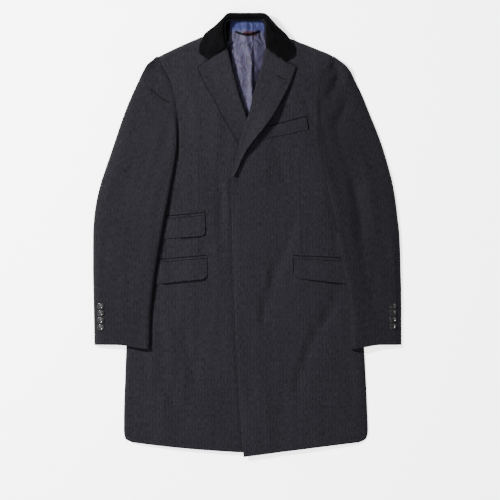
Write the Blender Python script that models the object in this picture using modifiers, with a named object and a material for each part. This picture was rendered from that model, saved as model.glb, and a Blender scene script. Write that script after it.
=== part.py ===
"""Single-breasted chesterfield coat with a concealed front, laid flat on its back.

Frame: X runs across the coat and is positive to the wearer's left, Y runs up the coat to the collar, and Z
rises from the surface the coat lies on. Lengths are in millimetres until a mesh is made.
"""

import math
from collections import namedtuple

import bmesh
import bpy
from mathutils import Vector

MM = 0.001
SHARP_ANGLE = 50.0      # degrees between faces above which a rim is drawn sharp

# Cloth and layering
CLOTH = 2.0             # wall of the coat's wool
VELVET = 2.2            # wall of the collar
SATIN = 1.0             # wall of the lining
GAP = 0.5               # air between one layer and the next
SEAM = 0.3              # air where two pieces are sewn edge to edge
LIP = 2.0               # upright foot of a rounded edge that stands on the surface below
LAID_AIR = 0.15         # extra air where a curved piece lies along another

# How a panel rounds over and fills out between the coat's edges
EDGE_ROUND = 10.0       # width of the rounded edge
FILL_REACH = 150.0      # distance from the edge at which the panel is at its full height
BREAK_Y = 132.0         # height of the lapels' break
LAPEL_SLACK = 0.9       # air between a lapel's seam and its front, inside the roll
LAPEL_TURN = 5.6        # how far a lapel's roll reaches past the edge of its front
GORGE_Y = 434.0         # height at which collar and lapel meet on the roll
BACK_INSET = 4.2        # the back panels lie this far inside the fronts' outline
BACK_HEM_INSET = 4.0
BACK_SHOULDER_INSET = 5.0
BACK_TOP_SIDE_Y = 136.0  # above this height a back's side bends to the underarm

SIDES = {"right": -1.0, "left": 1.0}

Edge = namedtuple("Edge", "y right left")
Across = namedtuple("Across", "x right left")
Height = namedtuple("Height", "y top edge")
Fold = namedtuple("Fold", "x0 y0 x1 y1 width depth")
Span = namedtuple("Span", "start length")   # where a soft change starts, and over what length it happens

# Side seams from the hem's corner to the underarm, as x at y
SIDE_SEAM = [
    Edge(-476.0, -266.0, 259.0),
    Edge(-471.0, -279.0, 271.5),
    Edge(-448.0, -284.0, 277.7),
    Edge(-410.0, -283.8, 276.3),
    Edge(-333.0, -281.2, 272.9),
    Edge(-264.0, -278.6, 269.2),
    Edge(-125.0, -268.0, 261.0),
    Edge(-30.0, -256.0, 253.0),
    Edge(70.0, -250.0, 248.0),
    Edge(159.0, -265.0, 265.0),
]
# Edge of the fronts at the armhole, a seam allowance under the sleeve
ARMHOLE = [
    Edge(159.0, -265.0, 265.0),
    Edge(168.0, -241.0, 241.0),
    Edge(180.0, -216.0, 216.0),
    Edge(194.0, -194.0, 195.0),
    Edge(210.0, -180.0, 182.0),
    Edge(230.0, -172.0, 174.0),
    Edge(254.0, -168.5, 170.0),
    Edge(283.0, -168.0, 168.5),
    Edge(310.0, -171.5, 169.5),
    Edge(338.0, -178.0, 172.5),
    Edge(361.0, -187.0, 178.5),
    Edge(380.0, -197.0, 187.0),
    Edge(398.0, -205.5, 194.5),
    Edge(410.6, -208.0, 197.0),
]
# The sewn line of sleeve to front, where it shows
SLEEVE_SEAM = [
    Edge(283.0, -162.7, 162.7),
    Edge(310.5, -167.0, 164.0),
    Edge(338.0, -173.0, 167.5),
    Edge(361.0, -182.0, 173.5),
    Edge(379.5, -192.5, 182.5),
    Edge(398.0, -202.5, 192.0),
    Edge(411.0, -208.0, 197.5),
]
# Armhole edge of the back panels
BACK_ARMHOLE = [
    Edge(154.0, -259.0, 259.0),
    Edge(190.0, -203.0, 202.0),
    Edge(240.0, -190.0, 188.0),
    Edge(320.0, -192.0, 187.0),
    Edge(365.0, -199.0, 190.0),
    Edge(400.0, -205.0, 194.0),
]
# Neckline of the back panels, from the shoulder to the centre seam
BACK_NECK = {
    "right": [(-52.0, 448.5), (-52.0, 487.0), (-45.0, 498.5), (-0.5 * SEAM, 498.5)],
    "left": [(47.0, 445.5), (46.5, 486.0), (39.5, 498.5), (0.5 * SEAM, 498.5)],
}
# Top edge of a shoulder, as y at the distance x from the centre; the last part lies under the collar
SHOULDER = [
    Across(56.0, 452.0, 449.0),
    Across(88.0, 452.0, 448.5),
    Across(102.0, 454.5, 449.0),
    Across(112.0, 453.2, 447.0),
    Across(136.0, 443.0, 438.0),
    Across(164.0, 430.2, 426.5),
    Across(181.0, 422.0, 420.0),
    Across(197.0, 414.2, 412.0),
    Across(208.0, 408.6, 406.0),
]
SHOULDER_POINT = {"right": (-208.0, 408.6), "left": (197.0, 412.0)}
# Front edges below the break: the right front runs on under the left one
FRONT_EDGE = [
    Edge(-510.0, 24.0, -8.5),
    Edge(-379.0, 25.0, -18.5),
    Edge(-241.0, 26.0, -26.0),
    Edge(-126.0, 27.0, -30.5),
    Edge(-11.0, 28.0, -35.0),
    Edge(80.0, 31.0, -36.4),
    Edge(132.0, 35.0, -37.4),
]
# The lapels' roll, which is the visible edge of the neck opening
ROLL = [
    Edge(132.0, 39.0, -37.4),
    Edge(168.0, 29.3, -28.0),
    Edge(210.0, 18.0, -17.8),
    Edge(240.0, 9.5, -10.0),
    Edge(265.0, 1.0, -1.0),
    Edge(290.0, -6.5, 6.7),
    Edge(322.0, -16.7, 13.2),
    Edge(357.0, -26.0, 23.2),
    Edge(391.0, -35.0, 33.5),
    Edge(421.0, -42.0, 39.6),
    Edge(434.0, -46.5, 42.0),
]
# Hem, as y at x
HEM_IN = {"right": -500.5, "left": -509.5}
HEM_SIDE_Y = -476.0
HEM_BOW = {"right": -3.5, "left": 0.5}
HEM_BLEND = 110.0
# Height of the coat's outer side above the surface: along the middle, and just inside the rounded edge
HEIGHTS = [
    Height(-510.0, 13.0, 7.0),
    Height(-380.0, 16.0, 7.5),
    Height(-240.0, 20.0, 8.0),
    Height(-60.0, 23.0, 8.0),
    Height(70.0, 25.0, 8.0),
    Height(160.0, 31.0, 8.5),
    Height(280.0, 36.0, 10.5),
    Height(380.0, 36.0, 13.0),
    Height(440.0, 35.0, 14.0),
]
# Soft troughs in the fronts, as lines with a half width and a depth
BODY_FOLDS = [
    Fold(-145.0, -225.0, -118.0, -351.0, 17.0, 3.2),
    Fold(-205.0, -338.0, -136.0, -443.0, 17.0, 3.0),
    Fold(-56.0, 90.0, -54.0, -150.0, 13.0, 1.8),
    Fold(112.0, 40.0, 66.0, -80.0, 17.0, 2.4),
    Fold(66.0, -80.0, 36.0, -205.0, 16.0, 2.8),
    Fold(212.0, -135.0, 160.0, -222.0, 18.0, 3.4),
    Fold(160.0, -222.0, 112.0, -360.0, 17.0, 3.0),
]
# Soft troughs in the sleeves
SLEEVE_FOLDS = [
    Fold(-219.0, 336.0, -188.0, 306.0, 9.0, 2.2),
    Fold(-330.0, 60.0, -245.0, -10.0, 15.0, 2.4),
    Fold(210.0, 372.0, 190.0, 322.0, 9.0, 2.4),
    Fold(231.0, 312.0, 205.0, 262.0, 10.0, 2.2),
    Fold(236.0, 138.0, 266.0, -11.0, 15.0, 3.6),
    Fold(266.0, -11.0, 288.0, -160.0, 14.0, 2.6),
]

# Rows of a front, as heights on its side seam and then its armhole
FRONT_ROWS = (
    -476.0, -468.0, -448.0, -415.0, -380.0, -342.0, -304.0, -264.0, -222.0, -180.0, -138.0, -96.0, -54.0,
    -12.0, 30.0, 70.0, 106.0, 136.0, 159.0, 168.0, 180.0, 194.0, 210.0, 230.0, 262.0, 294.0, 324.0, 350.0,
    374.0,
)
SHOULDER_ROW_INSETS = (10.0, 5.0, 1.4, 0.0, 0.0)
FRONT_COLUMNS = 12
SIDE_INSETS = (10.0, 5.0, 1.4, 0.0, 0.0)
ARMHOLE_INSETS = (10.0, 6.0, 3.0, 1.2, 0.0)
UNDERARM_LIFT = 1.1     # the foot of the edge leaves the surface at the underarm
SHOULDER_CLIMB = 160.0  # above this height the rows begin to turn up to the shoulder line
SHOULDER_SLOPE = 24.0   # degrees
SHOULDER_BEND = Span(330.0, 80.0)           # heights over which the rows take on the shoulder's line
UNDERARM_WIDENING = 1.6                     # how much wider the round edge is just above the underarm
UNDERARM_SPAN = Span(160.0, 60.0)
BREAK_SPAN = Span(126.0, 24.0)             # over it the front edge turns into the roll
NECK_FLARE = 3.0                            # how far the fronts draw back from the roll at the neck
NECK_SPAN = Span(GORGE_Y, 10.0)

# The overlap of the fronts: how far the left front is lifted over the right one, and over its lapel's end
LAP_LIFT = 2.6
LAP_ACROSS = Span(36.0, 34.0)
LAP_UP = Span(255.0, 80.0)
TIP_LIFT = 3.9
TIP_ACROSS = Span(44.0, 36.0)
TIP_FROM = Span(95.0, 40.0)
TIP_UP = Span(280.0, 60.0)


def mix(start, end, share):
    """Straight blend from start to end."""
    return start + (end - start) * share


def smooth(share):
    """Blend share with soft ends, held between 0 and 1."""
    share = min(max(share, 0.0), 1.0)
    return share * share * (3.0 - 2.0 * share)


def past(span, at):
    """Share of a soft change that has happened at a place."""
    return smooth((at - span.start) / span.length)


def round_share(distance, width):
    """Height of a quarter round, as a share, at a distance in from its foot."""
    share = 1.0 - min(max(distance / width, 0.0), 1.0)
    return math.sqrt(1.0 - share * share)


def tangent(before, after):
    """Slope that keeps a curve from overshooting between two neighbouring slopes."""
    if before * after <= 0.0:
        return 0.0
    return 2.0 * before * after / (before + after)


def curve(rows, column, at):
    """Column value on a smooth curve through the rows, whose first column rises."""
    places = [row[0] for row in rows]
    values = [getattr(row, column) for row in rows]
    if at <= places[0]:
        return values[0]
    if at >= places[-1]:
        return values[-1]
    right = next(index for index, place in enumerate(places) if place >= at)
    slopes = [(values[k + 1] - values[k]) / (places[k + 1] - places[k]) for k in range(len(rows) - 1)]
    here = slopes[right - 1]
    start = tangent(slopes[right - 2], here) if right > 1 else here
    end = tangent(here, slopes[right]) if right < len(slopes) else here
    span = places[right] - places[right - 1]
    share = (at - places[right - 1]) / span
    square = share * share
    cube = square * share
    return (
        (2.0 * cube - 3.0 * square + 1.0) * values[right - 1]
        + (cube - 2.0 * square + share) * span * start
        + (3.0 * square - 2.0 * cube) * values[right]
        + (cube - square) * span * end
    )


def station(rows, place):
    """Row of a table at a place between 0 and 1, on a smooth curve through its columns."""
    spot = place * (len(rows) - 1)
    low = min(int(spot), len(rows) - 2)
    share = spot - low
    around = [rows[min(max(low + k, 0), len(rows) - 1)] for k in (-1, 0, 1, 2)]
    values = []
    for before, start, end, after in zip(*around):
        lead = 0.5 * (end - before)
        trail = 0.5 * (after - start)
        values.append(
            start + share * lead
            + share * share * (3.0 * (end - start) - 2.0 * lead - trail)
            + share ** 3 * (2.0 * (start - end) + lead + trail)
        )
    return type(rows[0])(*values)


def segment_distance(x, y, start, end):
    """Distance in plan from a point to the straight line between two others."""
    along_x = end[0] - start[0]
    along_y = end[1] - start[1]
    share = ((x - start[0]) * along_x + (y - start[1]) * along_y) / (along_x ** 2 + along_y ** 2)
    share = min(max(share, 0.0), 1.0)
    return math.hypot(x - start[0] - share * along_x, y - start[1] - share * along_y)


def body_outline(side):
    """Points of the coat's outer edge on one side: side seam, a line across the armhole, shoulder."""
    sign = SIDES[side]
    points = [(getattr(SIDE_SEAM[0], side), -700.0)]
    points += [(getattr(row, side), row.y) for row in SIDE_SEAM]
    reach = abs(SHOULDER_POINT[side][0])
    points += [(sign * row.x, getattr(row, side)) for row in reversed(SHOULDER) if row.x <= reach]
    return points


OUTLINES = {side: body_outline(side) for side in SIDES}


def edge_distance(x, y):
    """Distance in plan from a point of the body to the coat's outer edge."""
    outline = OUTLINES["right" if x < 0.0 else "left"]
    return min(segment_distance(x, y, *ends) for ends in zip(outline, outline[1:]))


def fold_depth(folds, x, y):
    """Depth of the soft troughs at a point."""
    depth = 0.0
    for fold in folds:
        away = segment_distance(x, y, (fold.x0, fold.y0), (fold.x1, fold.y1)) / fold.width
        depth = max(depth, fold.depth * math.exp(-away * away))
    return depth


def plateau(x, y):
    """Height of the body's outer side, without the round of its edge."""
    edge = curve(HEIGHTS, "edge", y)
    fill = math.sin(0.5 * math.pi * min(edge_distance(x, y) / FILL_REACH, 1.0))
    return edge + (curve(HEIGHTS, "top", y) - edge) * fill


def body_height(x, y, cover=0.0):
    """Height of the body's outer side, or of a layer that covers it by that much."""
    distance = edge_distance(x, y)
    edge = curve(HEIGHTS, "edge", y)
    rounding = round_share(distance + cover, EDGE_ROUND + cover)
    return plateau(x, y) - edge + (edge + cover) * rounding - fold_depth(BODY_FOLDS, x, y)


def overlap_lift(x, y):
    """How far the left front is lifted over the right front and the end of its lapel."""
    lap = LAP_LIFT * (1.0 - past(LAP_ACROSS, x)) * (1.0 - past(LAP_UP, y))
    tip = TIP_LIFT * (1.0 - past(TIP_ACROSS, x)) * past(TIP_FROM, y) * (1.0 - past(TIP_UP, y))
    return lap + tip


def front_height(side, x, y):
    """Height of a front's outer side."""
    if side == "left":
        return body_height(x, y) + overlap_lift(x, y)
    return body_height(x, y)


def front_inner(side, y):
    """Where a front ends towards the middle: its front edge, the lapel's turn, then the neck."""
    if y <= BREAK_SPAN.start:
        return curve(FRONT_EDGE, side, y)
    turn = SIDES[side] * (LAPEL_TURN + LAPEL_SLACK)
    start = curve(FRONT_EDGE, side, min(y, BREAK_Y))
    rolled = curve(ROLL, side, min(max(y, BREAK_Y), GORGE_Y)) + turn
    return mix(start, rolled, past(BREAK_SPAN, y)) + SIDES[side] * NECK_FLARE * past(NECK_SPAN, y)


def shoulder_y(side, x):
    """Height of the shoulder's top edge."""
    return curve(SHOULDER, side, abs(x))


def front_point(side, column, row):
    """Point on the outer side of a front."""
    last_column = FRONT_COLUMNS + len(SIDE_INSETS) - 1
    last_row = len(FRONT_ROWS) + len(SHOULDER_ROW_INSETS) - 1
    outer_y = FRONT_ROWS[row] if row < len(FRONT_ROWS) else SHOULDER_POINT[side][1]
    on_side = outer_y <= SIDE_SEAM[-1].y
    outer_x = curve(SIDE_SEAM if on_side else ARMHOLE, side, outer_y)
    hem = 1.0 - smooth((outer_y - HEM_SIDE_Y) / HEM_BLEND)
    climb = smooth((outer_y - SHOULDER_CLIMB) / (ARMHOLE[-1].y - SHOULDER_CLIMB))
    inner_y = outer_y + (HEM_IN[side] - HEM_SIDE_Y) * hem
    inner_y += (getattr(SHOULDER[0], side) - ARMHOLE[-1].y) * climb
    inner_x = front_inner(side, inner_y)

    if column < FRONT_COLUMNS:
        share = column / FRONT_COLUMNS
        x = mix(inner_x, outer_x - SIDES[side] * EDGE_ROUND, share)
    else:
        inset = (SIDE_INSETS if on_side else ARMHOLE_INSETS)[column - FRONT_COLUMNS]
        if not on_side:
            inset *= 1.0 + UNDERARM_WIDENING * (1.0 - past(UNDERARM_SPAN, outer_y))
        x = outer_x - SIDES[side] * inset
    across = (x - inner_x) / (outer_x - inner_x)
    y = mix(inner_y, outer_y, across) + HEM_BOW[side] * 4.0 * across * (1.0 - across) * hem
    if row < len(FRONT_ROWS):
        chord = mix(getattr(SHOULDER[0], side), SHOULDER_POINT[side][1], across)
        bend = max(0.0, (outer_y - SHOULDER_BEND.start) / SHOULDER_BEND.length)
        y += (shoulder_y(side, x) - chord) * bend ** 2
    else:
        inset = SHOULDER_ROW_INSETS[row - len(FRONT_ROWS)]
        y = shoulder_y(side, x) - inset / math.cos(math.radians(SHOULDER_SLOPE))

    if row == last_row or (on_side and column == last_column):
        return x, y, UNDERARM_LIFT if outer_y == SIDE_SEAM[-1].y and column == last_column else 0.0
    if row == last_row - 1 or (on_side and column == last_column - 1):
        return x, y, LIP
    return x, y, front_height(side, x, y)


# Lapels: where the roll is at y, the outer edge, and their heights over the front
Lapel = namedtuple("Lapel", "y edge_x edge_y roll_rise edge_rise")
LAPELS = {
    "right": [
        Lapel(152.0, 23.0, 154.0, 3.6, 2.8),
        Lapel(178.0, 5.5, 175.0, 3.6, 2.8),
        Lapel(208.0, -16.0, 207.0, 3.6, 2.8),
        Lapel(240.0, -36.5, 241.0, 3.6, 2.8),
        Lapel(275.0, -58.0, 279.0, 4.4, 2.9),
        Lapel(314.0, -77.5, 318.0, 9.5, 3.2),
        Lapel(358.0, -96.5, 348.5, 10.0, 3.8),
        Lapel(400.0, -107.0, 371.5, 10.0, 4.4),
        Lapel(434.0, -112.0, 382.2, 10.0, 5.0),
    ],
    "left": [
        Lapel(152.0, -22.5, 156.0, 4.6, 2.8),
        Lapel(176.0, -8.0, 183.0, 5.0, 5.5),
        Lapel(208.0, 10.0, 210.5, 7.2, 12.0),
        Lapel(240.0, 35.5, 242.0, 9.0, 14.0),
        Lapel(277.0, 61.0, 278.0, 10.0, 12.5),
        Lapel(318.0, 82.0, 317.0, 10.0, 8.5),
        Lapel(358.0, 98.5, 350.0, 10.0, 6.0),
        Lapel(398.0, 106.5, 372.5, 10.0, 5.0),
        Lapel(430.0, 111.4, 384.2, 10.0, 4.6),
    ],
}
LAPEL_ROWS = 15
TIGHTEST_TURN = 2.4     # smallest outer radius of a folded wall
WIDEST_TURN = 0.46      # largest share of a lapel's width that its roll takes up
LAPEL_BELLY = 1.6       # how far a lapel sags between its roll and its edge
BELLY_RISE = 12.0       # rise of the edge at which the sag is full
TURN_ANGLES = (-90.0, -76.0, -42.0, -6.0, 32.0, 62.0, 90.0)
LAPEL_SHARES = (0.16, 0.36, 0.58, 0.8, 1.0)
GORGE_SAG = {"right": -0.5, "left": -4.0}   # how far the gorge line dips below a straight one
GORGE_LEAN = 1.3        # above 1 the dip is deepest nearer the lapel's corner
GORGE_GAP = 0.7
GORGE_REACH = (6, 8)    # powers that keep the gorge's dip and its gap to the top of the lapel


def lapel_point(side, column, row):
    """Point on the outer side of a lapel, from its seam to the front round the roll to its edge."""
    place = row / (LAPEL_ROWS - 1)
    line = station(LAPELS[side], place)
    roll_x = curve(ROLL, side, line.y)
    roll_y = line.y - GORGE_GAP * place ** GORGE_REACH[1]
    edge_y = line.edge_y
    width = math.hypot(line.edge_x - roll_x, edge_y - roll_y)
    half = 0.5 * (line.roll_rise + CLOTH)
    turn = min(LAPEL_TURN, WIDEST_TURN * width, half * half / TIGHTEST_TURN)
    if column < len(TURN_ANGLES):
        angle = math.radians(TURN_ANGLES[column])
        reach = turn * (1.0 - math.cos(angle))
        rise = half - CLOTH + half * math.sin(angle)
    else:
        share = LAPEL_SHARES[column - len(TURN_ANGLES)]
        reach = mix(turn, width, share)
        belly = LAPEL_BELLY * math.sin(math.pi * share) * min(1.0, line.edge_rise / BELLY_RISE)
        rise = mix(line.roll_rise, line.edge_rise, smooth(share)) - belly
    across = reach / width
    x = mix(roll_x, line.edge_x, across)
    dip = GORGE_SAG[side] * math.sin(math.pi * across ** GORGE_LEAN) * place ** GORGE_REACH[0]
    y = mix(roll_y, edge_y, across) + dip
    return x, y, front_height(side, x, y) + rise


# Collar, a row for each section from the right gorge round the neck to the left one. Line is the inner
# edge seen from above; the stand's seam lies seam_in further out, and turn is the width of the roll.
Collar = namedtuple("Collar", "line_x line_y edge_x edge_y seam_in seam_z turn top_z fall_z edge_z")
COLLAR = [
    Collar(-46.5, 434.7, -88.4, 401.4, 5.6, 27.0, 5.6, 40.0, 31.0, 30.4),
    Collar(-49.0, 444.0, -108.0, 415.5, 3.0, 21.0, 6.0, 41.5, 28.0, 27.0),
    Collar(-50.0, 455.0, -110.5, 427.0, -1.5, 13.0, 6.5, 42.5, 26.0, 25.0),
    Collar(-50.5, 467.0, -107.0, 444.0, -7.0, 7.8, 7.5, 43.0, 24.5, 21.0),
    Collar(-50.5, 479.0, -98.0, 462.5, -9.0, 5.6, 8.0, 43.0, 24.0, 3.0),
    Collar(-49.0, 488.0, -77.5, 477.8, -6.0, 5.4, 8.0, 42.0, 33.0, 1.0),
    Collar(-43.0, 492.8, -56.5, 497.4, -2.0, 4.6, 7.6, 40.0, 38.5, 1.0),
    Collar(-36.0, 493.4, -44.6, 508.6, 0.0, 3.0, 7.8, 39.5, 38.0, 1.0),
    Collar(-21.0, 493.4, -22.5, 509.4, 0.0, 2.4, 8.0, 39.0, 38.0, 1.0),
    Collar(-2.0, 493.4, -2.0, 509.4, 0.0, 2.4, 8.0, 38.5, 38.0, 1.0),
    Collar(17.0, 493.4, 18.5, 509.4, 0.0, 2.4, 8.0, 39.0, 38.0, 1.0),
    Collar(33.5, 493.2, 40.6, 508.6, 0.0, 2.4, 8.0, 39.5, 37.5, 1.0),
    Collar(38.6, 490.6, 53.0, 498.2, 0.0, 2.4, 8.0, 40.0, 35.0, 1.0),
    Collar(41.0, 486.0, 72.0, 477.4, 0.0, 2.4, 8.0, 42.0, 31.0, 1.0),
    Collar(41.3, 477.0, 91.0, 460.5, 0.0, 3.4, 8.0, 43.0, 24.0, 3.0),
    Collar(41.3, 465.0, 103.0, 441.5, 0.0, 7.0, 7.5, 43.0, 24.5, 21.0),
    Collar(41.5, 453.0, 107.8, 425.5, 1.0, 13.0, 6.5, 42.5, 26.5, 25.5),
    Collar(42.0, 441.0, 105.0, 411.5, 3.0, 21.0, 6.0, 42.0, 30.0, 29.4),
    Collar(42.0, 431.3, 85.4, 398.4, 5.6, 28.0, 5.6, 41.0, 32.0, 32.0),
]
COLLAR_ROWS = 37
FALL_SHARES = (0.16, 0.36, 0.56, 0.75, 0.89, 0.97, 1.0)
FALL_ROUND = (8.0, 5.0)     # width of the fall's rounded edge, where the fall is narrow and where it is wide
FALL_WIDTH = Span(16.0, 30.0)


def collar_point(column, row):
    """Point on the outer side of the collar: up the stand, round the roll and down the fall."""
    line = station(COLLAR, row / (COLLAR_ROWS - 1))
    width = math.hypot(line.edge_x - line.line_x, line.edge_y - line.line_y)
    if column < len(TURN_ANGLES):
        angle = math.radians(TURN_ANGLES[column])
        reach = (line.seam_in if angle < 0.0 else line.turn) * (1.0 - math.cos(angle))
        half = 0.5 * (line.top_z - line.seam_z)
        z = line.seam_z + half * (1.0 + math.sin(angle))
    else:
        share = FALL_SHARES[column - len(TURN_ANGLES)]
        reach = mix(line.turn, width, share)
        rounding = mix(*FALL_ROUND, past(FALL_WIDTH, width))
        z = mix(line.top_z, line.fall_z, smooth(share))
        z -= min(z - line.edge_z, rounding) * (1.0 - round_share(width - reach, rounding))
        if share == 1.0:
            z = line.edge_z
    across = reach / width
    return mix(line.line_x, line.edge_x, across), mix(line.line_y, line.edge_y, across), z


# Sleeves
SLEEVE_INNER = [
    Edge(-262.0, -221.4, 235.8),
    Edge(-195.0, -220.0, 236.0),
    Edge(-149.0, -216.0, 232.5),
    Edge(-103.0, -211.0, 226.0),
    Edge(-57.0, -204.0, 217.0),
    Edge(-11.0, -196.0, 204.5),
    Edge(35.0, -187.5, 194.0),
    Edge(81.0, -179.0, 184.5),
    Edge(127.0, -170.5, 176.3),
    Edge(173.0, -162.5, 170.0),
    Edge(219.0, -158.8, 165.5),
    Edge(253.0, -160.0, 163.5),
    Edge(283.0, -162.7, 162.7),
]
SLEEVE_OUTER = [
    Edge(-252.0, -351.8, 354.6),
    Edge(-149.5, -353.5, 354.6),
    Edge(-80.0, -355.0, 353.0),
    Edge(-11.0, -355.0, 351.0),
    Edge(35.0, -352.8, 346.5),
    Edge(81.0, -346.5, 341.0),
    Edge(127.0, -334.8, 332.7),
    Edge(173.0, -319.0, 320.0),
    Edge(219.0, -303.5, 305.8),
    Edge(265.0, -288.0, 287.0),
    Edge(311.0, -270.0, 269.0),
    Edge(357.0, -249.0, 247.3),
    Edge(380.0, -238.0, 235.8),
    Edge(393.0, -230.0, 224.4),
    Edge(404.0, -217.0, 209.6),
    Edge(412.0, -207.5, 198.6),
]
Fullness = namedtuple("Fullness", "place height")
SLEEVE_FULLNESS = [
    Fullness(0.0, 8.0),
    Fullness(0.12, 11.5),
    Fullness(0.3, 15.0),
    Fullness(0.65, 15.0),
    Fullness(1.0, 14.0),
]
SLEEVE_ROWS = (0.0, 0.012, 0.03, 0.055, 0.09, 0.14, 0.2, 0.26, 0.32, 0.38, 0.44, 0.5, 0.56, 0.62, 0.68, 0.74,
               0.8, 0.87, 0.94, 1.0)
INNER_INSETS = (0.0, 1.7, 3.4, 7.0, 12.0)    # at the seam
TUBE_INSETS = (0.0, 0.0, 2.2)                # the first of them below the cap
OUTER_INSETS = (16.0, 8.0, 2.9, 0.0, 0.0)
SLEEVE_MIDDLE = 6       # columns between the two rounded edges
SLEEVE_LENGTH = 600.0
CAP_SPAN = Span(7.0, 52.0)      # from the seam: the cap turns from the front's shape to the sleeve's
CAP_AIR = 0.5                   # extra air over the front at the shoulder point
CAP_AIR_UP = Span(370.0, 25.0)
OVERHANG_POWER = 6              # keeps the cap's overhang to the shoulder point
CUFF_LEVEL = 0.6                # from this share of its width outwards the cuff is level
FLAP_CLEARANCE = 3.6            # the sleeves ride over the pocket flaps by this much
FLAP_ABOVE = Span(55.0, 45.0)
FLAP_BELOW = Span(-165.0, 45.0)
TOP_IN = SLEEVE_INNER[-1].y
TOP_OUT = SLEEVE_OUTER[-1].y
LOW_IN = SLEEVE_INNER[0].y
LOW_OUT = SLEEVE_OUTER[0].y


def sleeve_rest(y):
    """Air between a sleeve and the front it lies on, wider where it rides over the flaps."""
    return GAP + FLAP_CLEARANCE * (1.0 - past(FLAP_ABOVE, y)) * past(FLAP_BELOW, y)


def seam_spot(side, across):
    """Point of the sleeve seam, from its inner end to the shoulder point."""
    x = curve(SLEEVE_SEAM, side, mix(SLEEVE_SEAM[0].y, SLEEVE_SEAM[-1].y, across))
    overhang = getattr(SLEEVE_OUTER[-1], side) - getattr(SLEEVE_SEAM[-1], side)
    return x + overhang * across ** OVERHANG_POWER, mix(TOP_IN, TOP_OUT, across)


def cuff_spot(side, across):
    """Point of the cuff's edge, from its inner corner out."""
    x = mix(getattr(SLEEVE_INNER[0], side), getattr(SLEEVE_OUTER[0], side), across)
    return x, mix(LOW_IN, LOW_OUT, smooth(across / CUFF_LEVEL))


def sleeve_plan(side, across, place):
    """Plan position on a top sleeve, from its four edges."""
    inner_y = mix(TOP_IN, LOW_IN, place)
    outer_y = mix(TOP_OUT, LOW_OUT, place)
    inner = (curve(SLEEVE_INNER, side, inner_y), inner_y)
    outer = (curve(SLEEVE_OUTER, side, outer_y), outer_y)
    seam = seam_spot(side, across)
    cuff = cuff_spot(side, across)
    ends = [seam_spot(side, 0.0), seam_spot(side, 1.0), cuff_spot(side, 0.0), cuff_spot(side, 1.0)]
    spot = []
    for k in (0, 1):
        corners = mix(mix(ends[0][k], ends[1][k], across), mix(ends[2][k], ends[3][k], across), place)
        spot.append(mix(seam[k], cuff[k], place) + mix(inner[k], outer[k], across) - corners)
    return spot[0], spot[1], inner, outer


def top_sleeve_height(side, x, y, inner, reach, width, place):
    """Height of a top sleeve's outer side, at a reach from its inner edge."""
    across = reach / width
    rest = body_height(*inner) + sleeve_rest(inner[1])
    fullness = curve(SLEEVE_FULLNESS, "height", place)
    rounding = round_share(reach, INNER_INSETS[-1]) * round_share(width - reach, OUTER_INSETS[0])
    tube = mix(rest, 0.0, across) + fullness * rounding - fold_depth(SLEEVE_FOLDS, x, y) * rounding
    lapped = body_height(x, y, GAP + CLOTH + CAP_AIR * past(CAP_AIR_UP, y))
    return tube, lapped, rest


def top_sleeve_point(side, column, row):
    """Point on the outer side of a top sleeve."""
    place = SLEEVE_ROWS[row]
    _, _, inner, outer = sleeve_plan(side, 0.0, place)
    width = math.dist(inner, outer) if row else math.dist(seam_spot(side, 0.0), seam_spot(side, 1.0))
    inners = len(INNER_INSETS)
    cap = past(CAP_SPAN, place * SLEEVE_LENGTH)
    last = inners + SLEEVE_MIDDLE + len(OUTER_INSETS) - 2
    if column < inners:
        reach = INNER_INSETS[column]
        if column in (1, 2):
            reach = mix(INNER_INSETS[column], TUBE_INSETS[column], cap)
    elif column < inners + SLEEVE_MIDDLE - 1:
        share = (column - inners + 1) / SLEEVE_MIDDLE
        reach = mix(INNER_INSETS[-1], width - OUTER_INSETS[0], share)
    else:
        reach = width - OUTER_INSETS[column - inners - SLEEVE_MIDDLE + 1]
    x, y, _, _ = sleeve_plan(side, reach / width, place)
    if column == last:
        return x, y, 0.0
    if column == last - 1:
        return x, y, LIP
    tube, lapped, rest = top_sleeve_height(side, x, y, inner, reach, width, place)
    if column == 1:
        tube = rest + LIP
    return x, y, mix(lapped, tube, cap)


# Under sleeves: rows by height, the upper ones only outside the armhole
UNDER_ROWS = (-254.0, -225.0, -190.0, -150.0, -110.0, -70.0, -30.0, 10.0, 50.0, 90.0, 125.0, 153.0, 160.0,
              167.0, 178.0, 192.0, 215.0, 250.0, 290.0, 330.0, 354.0, 373.0)
UNDER_OVER = 6          # columns that lie over the body
UNDER_TOP_ROW = 11      # the last row that lies over the body
UNDER_INSET = 3.4       # an under sleeve lies this far inside the top sleeve's edges
UNDER_PAST_SEAM = 3.0   # it begins to fall this far outside the side seam
UNDER_STEEPEST = (0.25, 0.75)   # shares of a short fall's span for each of its columns, and for all of them
UNDER_CORNER_SHARE = 0.5        # share of its height that it keeps beside the underarm's corner
UNDER_CUFF_INSET = 1.5
UNDER_FALLS = (0.0, 8.0, 17.0, 27.0)
UNDER_SHARES = (0.36, 0.7, 1.0)
# Inner edge of an under sleeve above the underarm, round the corner of the front and up the back
UNDER_EDGE = [
    Edge(153.0, -268.0, 268.0),
    Edge(160.0, -270.5, 270.5),
    Edge(167.0, -270.0, 270.0),
    Edge(178.0, -240.0, 240.0),
    Edge(192.0, -204.0, 202.0),
    Edge(215.0, -197.0, 195.5),
    Edge(250.0, -192.0, 190.0),
    Edge(290.0, -192.5, 189.5),
    Edge(330.0, -195.0, 190.0),
    Edge(354.0, -199.5, 192.0),
    Edge(373.0, -203.0, 194.0),
]


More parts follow.
